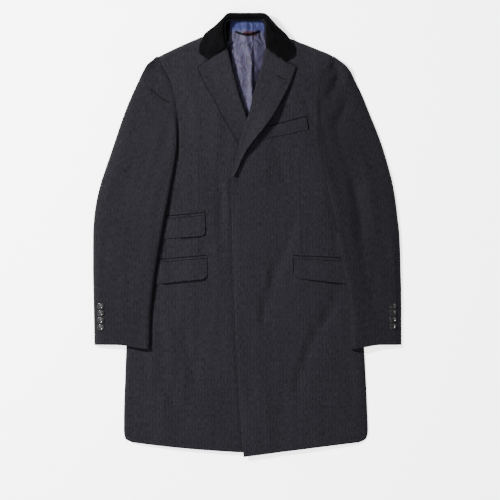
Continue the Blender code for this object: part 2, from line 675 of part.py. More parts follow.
def under_sleeve_point(side, column, row):
    """Point on the lower side of an under sleeve, which lies on the front and then on the surface."""
    sign = SIDES[side]
    y = UNDER_ROWS[row]
    over_edge = curve(SIDE_SEAM, side, y) + sign * UNDER_PAST_SEAM
    if row > UNDER_TOP_ROW:
        over_edge = curve(UNDER_EDGE, side, y)
    outer = curve(SLEEVE_OUTER, side, y) - sign * UNDER_INSET
    if column <= UNDER_OVER:
        inner = curve(SLEEVE_INNER, side, y) + sign * UNDER_INSET
        x = mix(inner, over_edge, column / UNDER_OVER)
    else:
        count = column - UNDER_OVER
        span = abs(outer - over_edge)
        if count < len(UNDER_FALLS):
            x = over_edge + sign * min(UNDER_FALLS[count], UNDER_STEEPEST[0] * span * count)
        else:
            start = over_edge + sign * min(UNDER_FALLS[-1], UNDER_STEEPEST[1] * span)
            x = mix(start, outer, UNDER_SHARES[count - len(UNDER_FALLS)])
    share_up = 1.0 - smooth(sign * (x - over_edge) / UNDER_FALLS[-1])
    if row > UNDER_TOP_ROW:
        share_up *= UNDER_CORNER_SHARE if row == UNDER_TOP_ROW + 1 else 0.0
    lie = plateau(min(abs(x), abs(over_edge) - UNDER_PAST_SEAM) * sign, y) + LAID_AIR + sleeve_rest(y)
    if row == 0:
        across = (x - getattr(SLEEVE_INNER[0], side)) / (outer - getattr(SLEEVE_INNER[0], side))
        y = cuff_spot(side, across)[1] + UNDER_CUFF_INSET
    return x, y, lie * share_up


def in_armhole(column, row):
    """Faces of an under sleeve's grid that lie across the armhole and are left out."""
    return row >= UNDER_TOP_ROW and column < UNDER_OVER


# Lining in the open neck
LINING_SIDE = [
    Edge(236.0, -20.0, 26.0),
    Edge(300.0, -46.0, 44.0),
    Edge(360.0, -64.0, 60.0),
    Edge(430.0, -68.0, 64.0),
    Edge(446.0, -47.0, 52.0),
    Edge(456.0, -40.5, 39.8),
    Edge(482.0, -39.0, 39.8),
    Edge(491.8, -35.5, 33.0),
]
LINING_ROWS = (236.0, 262.0, 288.0, 314.0, 340.0, 366.0, 392.0, 416.0, 436.0, 447.0, 457.0, 470.0, 482.0,
               491.8)
LINING_COLUMNS = 21
PLEAT = [Edge(236.0, 11.0, 11.0), Edge(390.0, 11.0, 11.0), Edge(458.0, -3.0, -3.0), Edge(491.8, -3.0, -3.0)]
PLEAT_RISE = 3.4
PLEAT_WIDTHS = (9.0, 5.0)   # the pleat's slope towards the wearer's right, and to the left where it folds
SLACK_RISE = 1.6            # a second, softer wave on both sides of the pleat
SLACK_AWAY = 27.0
SLACK_WIDTH = 9.0
SLACK_UP = Span(430.0, 40.0)
LINING_TOP = CLOTH + SEAM + LAID_AIR + SATIN    # its upper side where it lies flat on the backs


def lining_height(x, y):
    """Height of the lining's upper side: a soft pleat down its middle, and slack towards the sides."""
    away = x - curve(PLEAT, "left", y)
    ridge = PLEAT_RISE * math.exp(-(away / PLEAT_WIDTHS[away > 0.0]) ** 2)
    slack = SLACK_RISE * math.exp(-((abs(away) - SLACK_AWAY) / SLACK_WIDTH) ** 2)
    return LINING_TOP + ridge + slack * (1.0 - past(SLACK_UP, y))


def lining_point(column, row):
    """Point on the lining's upper side."""
    y = LINING_ROWS[row]
    share = column / (LINING_COLUMNS - 1)
    x = mix(curve(LINING_SIDE, "right", y), curve(LINING_SIDE, "left", y), share)
    return x, y, lining_height(x, y)


# Pocket pieces, which follow the front they lie on
Flap = namedtuple("Flap", "side inner_x inner_y outer_x outer_y drop_in drop_out corner")
FLAPS = {
    "flap_right": Flap("right", -92.6, -53.0, -244.0, -66.5, 47.0, 49.5, 11.0),
    "flap_ticket": Flap("right", -96.0, 45.0, -204.0, 34.8, 46.5, 44.0, 11.0),
    "flap_left": Flap("left", 107.5, -54.3, 237.0, -61.0, 44.0, 51.5, 8.0),
}
FLAP_CLOTH = 1.8
FLAP_LIFT = 1.0         # how far a flap's free edge stands off
JET_WIDTH = 5.5
JET_CLOTH = 1.2
CORNER_SHARES = (0.0, 0.29, 1.0)            # columns across a flap's round corner
FLAP_SHARES = (0.2, 0.4, 0.6, 0.8, 1.0)     # columns across the rest of it
FLAP_COLUMNS = len(CORNER_SHARES) + len(FLAP_SHARES)
FLAP_ROWS = 5
JET_COLUMNS = 7
JET_ROWS = 3
JET_INSET = 1.0         # a jet's inner end, in from the flap's
JET_AIR = 0.6           # between a jet and its flap
JET_BELLY = 0.5


def flap_point(flap, column, row):
    """Point on the outer side of a flap, whose lower inner corner is round."""
    width = abs(flap.outer_x - flap.inner_x)
    if column < len(CORNER_SHARES):
        reach = flap.corner * CORNER_SHARES[column]
    else:
        reach = mix(flap.corner, width, FLAP_SHARES[column - len(CORNER_SHARES)])
    cut = flap.corner * (1.0 - round_share(reach, flap.corner))
    share = reach / width
    down = row / (FLAP_ROWS - 1)
    x = mix(flap.inner_x, flap.outer_x, share)
    y = mix(flap.inner_y, flap.outer_y, share) - (mix(flap.drop_in, flap.drop_out, share) - cut) * down
    return x, y, front_height(flap.side, x, y) + GAP + FLAP_CLOTH + FLAP_LIFT * down


def jet_point(flap, column, row):
    """Point on the outer side of the narrow strip above a flap."""
    share = column / (JET_COLUMNS - 1)
    up = row / (JET_ROWS - 1)
    x = mix(flap.inner_x - SIDES[flap.side] * JET_INSET, flap.outer_x, share)
    y = mix(flap.inner_y, flap.outer_y, share) + JET_AIR + JET_WIDTH * up
    return x, y, front_height(flap.side, x, y) + GAP + JET_CLOTH + JET_BELLY * math.sin(math.pi * up)


WELT_CORNERS = ((46.0, 221.0), (139.7, 241.5), (136.0, 270.5), (46.0, 247.0))
WELT_CLOTH = 1.8
WELT_COLUMNS = 8
WELT_ROWS = 4


def welt_point(column, row):
    """Point on the outer side of the breast pocket's welt."""
    share = column / (WELT_COLUMNS - 1)
    up = row / (WELT_ROWS - 1)
    low = [mix(WELT_CORNERS[0][k], WELT_CORNERS[1][k], share) for k in (0, 1)]
    high = [mix(WELT_CORNERS[3][k], WELT_CORNERS[2][k], share) for k in (0, 1)]
    x = mix(low[0], high[0], up)
    y = mix(low[1], high[1], up)
    return x, y, front_height("left", x, y) + GAP + SEAM + WELT_CLOTH


# Hanger loop and its tab
LOOP_ENDS = ((-27.0, 466.5), (33.0, 468.5))
LOOP_SAG = 7.5
LOOP_WIDTH = 6.0
LOOP_CLOTH = 1.4
LOOP_SEWN = 0.22        # share of the loop's length over which an end rises from the lining
LOOP_RISE = 2.3
LOOP_COLUMNS = 11
TAB = ((-9.5, 457.0), (18.0, 467.4))
TAB_CLOTH = 0.7
TAB_COLUMNS = 9
TAB_ROWS = 3


def loop_point(column, row):
    """Point on the upper side of the hanger loop, a strap sewn down at its ends."""
    share = column / (LOOP_COLUMNS - 1)
    x = mix(LOOP_ENDS[0][0], LOOP_ENDS[1][0], share)
    middle_y = mix(LOOP_ENDS[0][1], LOOP_ENDS[1][1], share) - LOOP_SAG * math.sin(math.pi * share)
    rise = SEAM + LOOP_CLOTH + LOOP_RISE * smooth(min(share, 1.0 - share) / LOOP_SEWN)
    return x, middle_y + LOOP_WIDTH * (row - 0.5), lining_height(x, middle_y) + rise


def tab_point(column, row):
    """Point on the upper side of the plain tab under the hanger loop."""
    x = mix(TAB[0][0], TAB[1][0], column / (TAB_COLUMNS - 1))
    y = mix(TAB[0][1], TAB[1][1], row / (TAB_ROWS - 1))
    return x, y, lining_height(x, y) + GAP + TAB_CLOTH


# Cuff buttons
BUTTON_PITCH = {"right": 16.2, "left": 15.6}
BUTTON_TOP = {"right": (-335.7, -162.2), "left": (333.6, -162.0)}
BUTTONS_A_CUFF = 4
BUTTON_STEPS = 12
MERGE = 0.1
BUTTON_SEAT = 0.35
SLOPE_STEP = 3.0        # a sleeve's slope under a button is measured over twice this length
# Turned profile from the middle of the face over the rim to the back, as radius and height
BUTTON_PROFILE = ((0.0, 1.9), (4.6, 2.0), (5.6, 3.2), (6.8, 3.2), (7.4, 2.4), (7.2, 0.9), (5.2, 0.0),
                  (0.0, 0.0))


def sleeve_surface(side, x, y):
    """Height of a top sleeve's outer side at a point in plan."""
    place = (TOP_OUT - y) / (TOP_OUT - LOW_OUT)
    _, _, inner, outer = sleeve_plan(side, 0.0, place)
    width = math.dist(inner, outer)
    reach = abs(x - inner[0]) * width / abs(outer[0] - inner[0])
    tube, _, _ = top_sleeve_height(side, x, y, inner, reach, width, place)
    return tube


def new_material(name, color, roughness, metallic=0.0):
    """Principled material of one colour."""
    material = bpy.data.materials.new(name)
    material.use_nodes = True
    shader = material.node_tree.nodes["Principled BSDF"]
    shader.inputs["Base Color"].default_value = (*color, 1.0)
    shader.inputs["Roughness"].default_value = roughness
    shader.inputs["Metallic"].default_value = metallic
    return material


def add_object(name, mesh, material, collection):
    """Put a mesh in the coat's collection, smooth but for its sharp rims."""
    mesh.shade_smooth()
    mesh.set_sharp_from_angle(angle=math.radians(SHARP_ANGLE))
    mesh.materials.append(material)
    piece = bpy.data.objects.new(name, mesh)
    collection.objects.link(piece)
    return piece


def add_sheet(name, point, columns, rows, thickness, material, collection, lower=False, leave_out=None):
    """Cloth piece: a grid moved to its shape and given a wall.

    point(column, row) gives the outer side, or the lower one where the wall is built upwards.
    """
    mesh = bpy.data.meshes.new(name)
    grid = bmesh.new()
    bmesh.ops.create_grid(grid, x_segments=columns - 1, y_segments=rows - 1, size=1.0)
    cells = {}
    for face in grid.faces:
        middle = face.calc_center_median()
        cell = (int((middle.x + 1.0) / 2.0 * (columns - 1)), int((middle.y + 1.0) / 2.0 * (rows - 1)))
        cells[face] = cell
    for vertex in grid.verts:
        column = round((vertex.co.x + 1.0) / 2.0 * (columns - 1))
        row = round((vertex.co.y + 1.0) / 2.0 * (rows - 1))
        vertex.co = Vector(point(column, row)) * MM
    if leave_out:
        dropped = [face for face, cell in cells.items() if leave_out(*cell)]
        bmesh.ops.delete(grid, geom=dropped, context="FACES")
    grid.normal_update()
    if sum(face.normal.z * face.calc_area() for face in grid.faces) < 0.0:
        bmesh.ops.reverse_faces(grid, faces=grid.faces[:])
    grid.to_mesh(mesh)
    grid.free()
    piece = add_object(name, mesh, material, collection)
    wall = piece.modifiers.new("wall", "SOLIDIFY")
    wall.thickness = thickness * MM
    wall.offset = 1.0 if lower else -1.0
    return piece


def add_back(side, material, collection):
    """Flat back panel: an outline inside the fronts' outline, filled and given its thickness."""
    sign = SIDES[side]
    outline = [(sign * 0.5 * SEAM, HEM_IN["right"] + BACK_HEM_INSET)]
    outline.append((getattr(SIDE_SEAM[0], side) - sign * BACK_INSET, HEM_SIDE_Y + BACK_HEM_INSET))
    for y in FRONT_ROWS[2:]:
        if y <= BACK_TOP_SIDE_Y:
            outline.append((curve(SIDE_SEAM, side, y) - sign * BACK_INSET, y))
    outline += [(getattr(row, side), row.y) for row in BACK_ARMHOLE]
    reach = abs(getattr(BACK_ARMHOLE[-1], side))
    for row in reversed(SHOULDER):
        if row.x < reach - BACK_INSET:
            outline.append((sign * row.x, getattr(row, side) - BACK_SHOULDER_INSET))
    outline += BACK_NECK[side]

    flat = bpy.data.curves.new(f"back_{side}", "CURVE")
    flat.dimensions = "2D"
    flat.fill_mode = "BOTH"
    flat.extrude = 0.5 * CLOTH * MM
    line = flat.splines.new("POLY")
    line.points.add(len(outline) - 1)
    for spot, (x, y) in zip(line.points, outline):
        spot.co = (x * MM, y * MM, 0.0, 1.0)
    line.use_cyclic_u = True
    flat.materials.append(material)
    panel = bpy.data.objects.new(f"back_{side}", flat)
    panel.location.z = 0.5 * CLOTH * MM
    collection.objects.link(panel)
    return panel


def add_button(name, side, x, y, material, collection):
    """Turned button, seated on the slope of its sleeve."""
    mesh = bpy.data.meshes.new(name)
    profile = [(radius * MM, 0.0, height * MM) for radius, height in BUTTON_PROFILE]
    mesh.from_pydata(profile, [(k, k + 1) for k in range(len(profile) - 1)], [])
    mesh.materials.append(material)
    button = bpy.data.objects.new(name, mesh)
    collection.objects.link(button)
    turn = button.modifiers.new("turn", "SCREW")
    turn.axis = "Z"
    turn.angle = math.tau
    turn.steps = BUTTON_STEPS
    turn.render_steps = BUTTON_STEPS
    turn.use_merge_vertices = True
    turn.merge_threshold = MERGE * MM
    turn.use_smooth_shade = False
    rise_x = sleeve_surface(side, x + SLOPE_STEP, y) - sleeve_surface(side, x - SLOPE_STEP, y)
    rise_y = sleeve_surface(side, x, y + SLOPE_STEP) - sleeve_surface(side, x, y - SLOPE_STEP)
    normal = Vector((-rise_x, -rise_y, 2.0 * SLOPE_STEP)).normalized()
    button.location = (Vector((x, y, sleeve_surface(side, x, y))) + normal * BUTTON_SEAT) * MM
    button.rotation_mode = "QUATERNION"
    button.rotation_quaternion = normal.to_track_quat("Z", "Y")
    return button


def clear_scene():
    """Remove every object that the file opened with."""
    for item in list(bpy.data.objects):
        bpy.data.objects.remove(item, do_unlink=True)


def build_coat():
    """Model the whole coat."""
    collection = bpy.data.collections.new("chesterfield_coat")
    bpy.context.scene.collection.children.link(collection)
    wool = new_material("wool", (0.036, 0.034, 0.042), 0.92)
    velvet = new_material("velvet", (0.006, 0.006, 0.007), 0.85)
    satin = new_material("satin", (0.115, 0.13, 0.27), 0.42)
    tape = new_material("tape", (0.05, 0.045, 0.075), 0.7)
    woven = new_material("woven_tab", (0.14, 0.035, 0.05), 0.75)
    horn = new_material("horn", (0.02, 0.02, 0.022), 0.18)

    front_columns = FRONT_COLUMNS + len(SIDE_INSETS)
    front_rows = len(FRONT_ROWS) + len(SHOULDER_ROW_INSETS)
    sleeve_columns = len(INNER_INSETS) + SLEEVE_MIDDLE + len(OUTER_INSETS) - 1
    under_columns = UNDER_OVER + len(UNDER_FALLS) + len(UNDER_SHARES)
    lapel_columns = len(TURN_ANGLES) + len(LAPEL_SHARES)
    for side in SIDES:
        add_back(side, wool, collection)
        add_sheet(f"front_{side}", lambda i, j: front_point(side, i, j), front_columns, front_rows,
                  CLOTH, wool, collection)
        add_sheet(f"lapel_{side}", lambda i, j: lapel_point(side, i, j), lapel_columns, LAPEL_ROWS,
                  CLOTH, wool, collection)
        add_sheet(f"top_sleeve_{side}", lambda i, j: top_sleeve_point(side, i, j), sleeve_columns,
                  len(SLEEVE_ROWS), CLOTH, wool, collection)
        add_sheet(f"under_sleeve_{side}", lambda i, j: under_sleeve_point(side, i, j), under_columns,
                  len(UNDER_ROWS), CLOTH, wool, collection, lower=True, leave_out=in_armhole)
        for number in range(BUTTONS_A_CUFF):
            x, y = BUTTON_TOP[side]
            add_button(f"cuff_button_{side}_{number + 1}", side, x, y - number * BUTTON_PITCH[side], horn,
                       collection)
    collar_columns = len(TURN_ANGLES) + len(FALL_SHARES)
    add_sheet("collar", collar_point, collar_columns, COLLAR_ROWS, VELVET, velvet, collection)
    add_sheet("lining", lining_point, LINING_COLUMNS, len(LINING_ROWS), SATIN, satin, collection)
    for name, flap in FLAPS.items():
        add_sheet(name, lambda i, j: flap_point(flap, i, j), FLAP_COLUMNS, FLAP_ROWS, FLAP_CLOTH, wool,
                  collection)
        add_sheet(name.replace("flap", "jet"), lambda i, j: jet_point(flap, i, j), JET_COLUMNS, JET_ROWS,
                  JET_CLOTH, wool, collection)
    add_sheet("chest_welt", welt_point, WELT_COLUMNS, WELT_ROWS, WELT_CLOTH, wool, collection)
    add_sheet("hanger_loop", loop_point, LOOP_COLUMNS, 2, LOOP_CLOTH, tape, collection)
    add_sheet("hanger_tab", tab_point, TAB_COLUMNS, TAB_ROWS, TAB_CLOTH, woven, collection)


clear_scene()
build_coat()
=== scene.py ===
"""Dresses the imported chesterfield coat, laid flat on its back, and sets up floor, light and camera.

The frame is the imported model's: X runs across the coat to the wearer's left, Y up the coat to the collar, and
Z rises from the surface the coat lies on. Tables are in millimetres and a mesh is in metres.
"""

import logging
import math
from dataclasses import dataclass, field
from enum import Enum
from typing import Any, Callable, NamedTuple, Sequence

import bmesh
import bpy
import numpy as np
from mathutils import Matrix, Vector
from mathutils.bvhtree import BVHTree


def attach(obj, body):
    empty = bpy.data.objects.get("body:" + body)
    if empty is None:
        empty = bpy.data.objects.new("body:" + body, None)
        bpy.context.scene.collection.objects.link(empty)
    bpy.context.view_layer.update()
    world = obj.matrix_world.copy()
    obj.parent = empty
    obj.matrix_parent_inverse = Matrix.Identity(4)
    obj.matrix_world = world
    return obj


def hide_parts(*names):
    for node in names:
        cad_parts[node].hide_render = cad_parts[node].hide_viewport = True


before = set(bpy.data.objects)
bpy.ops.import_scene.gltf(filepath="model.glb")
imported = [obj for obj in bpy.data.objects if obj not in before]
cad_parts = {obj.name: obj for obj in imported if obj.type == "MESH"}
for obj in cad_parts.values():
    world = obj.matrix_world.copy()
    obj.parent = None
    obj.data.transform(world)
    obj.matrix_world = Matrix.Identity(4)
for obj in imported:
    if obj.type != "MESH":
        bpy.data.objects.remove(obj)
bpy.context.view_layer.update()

LOG = logging.getLogger("coat")
MM = 0.001
UV_NAME = "cloth"
Spot = tuple[float, float]
Point = tuple[float, float, float]
Materials = dict[str, bpy.types.Material]

# A crease runs on past its ends and fades over a share of its length; raised banks stand at its sides
CREASE_RUN = 0.12
CREASE_FADE = 0.36
BANK_HEIGHT = 0.32
BANK_AWAY = 2.1
BANK_WIDTH = 0.9
# Waves that make laid cloth uneven, in millimetres, and how they are drawn out along the coat
RIPPLE_WAVES = 12
RIPPLE_LENGTHS = (38.0, 150.0)
RIPPLE_DRAW = 0.6
RIPPLE_SCALE = 5.0
# Cloth lower than this gets shallower creases, down to none where it lies on the surface
FIRM_HEIGHT = 7.0
RIM_ANGLE = math.radians(60.0)
SHARP_ANGLE = math.radians(50.0)


class Side(Enum):
    """The wearer's sides, with the sign of X on each."""

    RIGHT = -1.0
    LEFT = 1.0

    @property
    def word(self) -> str:
        """Name of the side, as node names and table columns have it."""
        return self.name.lower()

    def of(self, row: NamedTuple) -> Any:
        """A row's value on this side."""
        return getattr(row, self.word)


class Grain(Enum):
    """How a piece's weave lies on it."""

    PLAN = "straight up the coat"
    ALONG = "along the piece"


class Both(NamedTuple):
    """A value for each side of the coat."""

    right: Any
    left: Any


class Edge(NamedTuple):
    """x of an edge on both sides of the coat, at a height y."""

    y: float
    right: float
    left: float


class Across(NamedTuple):
    """y of an edge on both sides of the coat, at a distance x from its middle."""

    x: float
    right: float
    left: float


class Height(NamedTuple):
    """Height of the body's outer side at y, along its middle and inside its rounded edge."""

    y: float
    top: float
    edge: float


class Fold(NamedTuple):
    """A soft trough along a straight line, with its half width and depth."""

    x0: float
    y0: float
    x1: float
    y1: float
    width: float
    depth: float


class Crease(NamedTuple):
    """A fine trough along a bowed line, with tapered ends; a negative depth is a ridge."""

    x0: float
    y0: float
    x1: float
    y1: float
    bow: float
    width: float
    depth: float


class Span(NamedTuple):
    """Where a soft change starts, and the length it takes."""

    start: float
    length: float


class LapelRow(NamedTuple):
    """A lapel's section: height of the roll, outer edge, and the heights of both over the front."""

    y: float
    edge_x: float
    edge_y: float
    roll_rise: float
    edge_rise: float


class CollarRow(NamedTuple):
    """A collar's section: inner line, free edge, the stand's seam, the roll and the heights."""

    line_x: float
    line_y: float
    edge_x: float
    edge_y: float
    seam_in: float
    seam_z: float
    turn: float
    top_z: float
    fall_z: float
    edge_z: float


class Fullness(NamedTuple):
    """Fullness of a sleeve at a place between its seam and its cuff."""

    place: float
    height: float


class Flap(NamedTuple):
    """A pocket flap: its name, the ends of its upper edge, its depths and its round corner."""

    name: str
    side: Side
    inner_x: float
    inner_y: float
    outer_x: float
    outer_y: float
    drop_in: float
    drop_out: float
    corner: float


def table(kind: type, *rows: tuple[float, ...]) -> tuple[Any, ...]:
    """A table with rows of one kind."""
    return tuple(kind(*map(float, row)) for row in rows)


def mix(start: float, end: float, share: float) -> float:
    """Straight blend from start to end."""
    return start + (end - start) * share


def smooth(share: float) -> float:
    """Blend share with soft ends, held between 0 and 1."""
    share = min(max(share, 0.0), 1.0)
    return share * share * (3.0 - 2.0 * share)


def past(span: Span, at: float) -> float:
    """Share of a soft change that has happened at a place."""
    return smooth((at - span.start) / span.length)


def round_share(distance: float, width: float) -> float:
    """Height of a quarter round, as a share, at a distance in from its foot."""
    share = 1.0 - min(max(distance / width, 0.0), 1.0)
    return math.sqrt(1.0 - share * share)


def tangent(before: float, after: float) -> float:
    """Slope that keeps a curve from overshooting between two neighbouring slopes."""
    if before * after <= 0.0:
        return 0.0
    return 2.0 * before * after / (before + after)


def curve(rows: Sequence[NamedTuple], column: str, at: float) -> float:
    """Read a table at any place on its first column.

    Args:
        rows: The table, whose first column rises.
        column: Name of the column to read.
        at: Where to read it.

    Returns:
        The value of a smooth curve through the rows.
    """
    places = [row[0] for row in rows]
    values = [getattr(row, column) for row in rows]
    if at <= places[0]:
        return values[0]
    if at >= places[-1]:
        return values[-1]
    right = next(index for index, place in enumerate(places) if place >= at)
    slopes = [(values[k + 1] - values[k]) / (places[k + 1] - places[k]) for k in range(len(rows) - 1)]
    here = slopes[right - 1]
    start = tangent(slopes[right - 2], here) if right > 1 else here
    end = tangent(here, slopes[right]) if right < len(slopes) else here
    span = places[right] - places[right - 1]
    share = (at - places[right - 1]) / span
    square = share * share
    cube = square * share
    return (
        (2.0 * cube - 3.0 * square + 1.0) * values[right - 1]
        + (cube - 2.0 * square + share) * span * start
        + (3.0 * square - 2.0 * cube) * values[right]
        + (cube - square) * span * end
    )


def station(rows: Sequence[NamedTuple], place: float) -> NamedTuple:
    """Read all columns of a table of sections.

    Args:
        rows: The sections, in order.
        place: Where to read, from 0 at the first to 1 at the last.

    Returns:
        A row on a smooth curve through the others.
    """
    spot = place * (len(rows) - 1)
    low = min(int(spot), len(rows) - 2)
    share = spot - low
    around = [rows[min(max(low + k, 0), len(rows) - 1)] for k in (-1, 0, 1, 2)]
    values = []
    for before, start, end, after in zip(*around):
        lead = 0.5 * (end - before)
        trail = 0.5 * (after - start)
        values.append(
            start + share * lead
            + share * share * (3.0 * (end - start) - 2.0 * lead - trail)
            + share ** 3 * (2.0 * (start - end) + lead + trail)
        )
    return type(rows[0])(*values)


def segment_distance(x: float, y: float, start: Spot, end: Spot) -> float:
    """Distance in plan from a point to the straight line between two others."""
    along_x = end[0] - start[0]
    along_y = end[1] - start[1]
    share = ((x - start[0]) * along_x + (y - start[1]) * along_y) / (along_x ** 2 + along_y ** 2)
    share = min(max(share, 0.0), 1.0)
    return math.hypot(x - start[0] - share * along_x, y - start[1] - share * along_y)


def fold_depth(folds: Sequence[Fold], x: float, y: float) -> float:
    """Depth of the soft troughs at a point."""
    depth = 0.0
    for fold in folds:
        away = segment_distance(x, y, (fold.x0, fold.y0), (fold.x1, fold.y1)) / fold.width
        depth = max(depth, fold.depth * math.exp(-away * away))
    return depth


def spline(points: np.ndarray, places: np.ndarray) -> np.ndarray:
    """Points on smooth curves through the first axis of an array, which don't overshoot.

    Args:
        points: The array, whose first axis is followed.
        places: Fractional positions on that axis.

    Returns:
        An array with a row for each place.
    """
    steps = np.diff(points, axis=0)
    product = steps[:-1] * steps[1:]
    total = steps[:-1] + steps[1:]
    inner = np.where(product > 0.0, 2.0 * product / np.where(total == 0.0, 1.0, total), 0.0)
    slopes = np.concatenate([steps[:1], inner, steps[-1:]])
    low = np.minimum(places.astype(int), len(points) - 2)
    share = (places - low).reshape((-1,) + (1,) * (points.ndim - 1))
    start, end = points[low], points[low + 1]
    square, cube = share ** 2, share ** 3
    return (
        (2 * cube - 3 * square + 1) * start + (cube - 2 * square + share) * slopes[low]
        + (3 * square - 2 * cube) * end + (cube - square) * slopes[low + 1]
    )


def crease_field(creases: Sequence[Crease], x: np.ndarray, y: np.ndarray) -> np.ndarray:
    """Depth of creases over an array of points.

    Args:
        creases: The creases.
        x: Places across the coat.
        y: Places up the coat.

    Returns:
        The depth at each point, in millimetres.
    """
    depth = np.zeros_like(x)
    for crease in creases:
        along_x, along_y = crease.x1 - crease.x0, crease.y1 - crease.y0
        length = math.hypot(along_x, along_y)
        share = ((x - crease.x0) * along_x + (y - crease.y0) * along_y) / length ** 2
        away = ((x - crease.x0) * along_y - (y - crease.y0) * along_x) / length
        inside = np.clip(share, 0.0, 1.0)
        away = away - crease.bow * 4.0 * inside * (1.0 - inside)
        ends = np.clip((np.minimum(share, 1.0 - share) + CREASE_RUN) / CREASE_FADE, 0.0, 1.0)
        taper = ends * ends * (3.0 - 2.0 * ends)
        groove = np.exp(-(away / crease.width) ** 2)
        bank = BANK_HEIGHT * np.exp(-((np.abs(away) / crease.width - BANK_AWAY) / BANK_WIDTH) ** 2)
        depth += crease.depth * taper * (groove - bank)
    return depth


def ripple_field(x: np.ndarray, y: np.ndarray, seed: int) -> np.ndarray:
    """Shallow unevenness of laid cloth, the same for layers with the same seed.

    Args:
        x: Places across the coat.
        y: Places up the coat.
        seed: Fixed seed of the pattern.

    Returns:
        Heights between about -1 and 1.
    """
    dice = np.random.default_rng(seed)
    height = np.zeros_like(x)
    for _ in range(RIPPLE_WAVES):
        wavelength = dice.uniform(*RIPPLE_LENGTHS)
        heading = dice.uniform(0.0, math.pi)
        phase = dice.uniform(0.0, math.tau)
        along = x * math.cos(heading) + y * RIPPLE_DRAW * math.sin(heading)
        height += np.sin(math.tau / wavelength * along + phase)
    return height / RIPPLE_SCALE


def put(name: str, data: bpy.types.ID) -> bpy.types.Object:
    """Make an object of a mesh, curve, light or camera, and link it to the scene."""
    made = bpy.data.objects.new(name, data)
    bpy.context.scene.collection.objects.link(made)
    return made


def plain_mesh(drawn: bpy.types.Object, name: str) -> bpy.types.Mesh:
    """Turn a curve, or an object with modifiers, into a plain mesh.

    Args:
        drawn: The object, which is removed.
        name: The mesh's name.

    Returns:
        The mesh.
    """
    mesh = bpy.data.meshes.new_from_object(drawn.evaluated_get(bpy.context.evaluated_depsgraph_get()))
    bpy.data.objects.remove(drawn)
    mesh.name = name
    return mesh


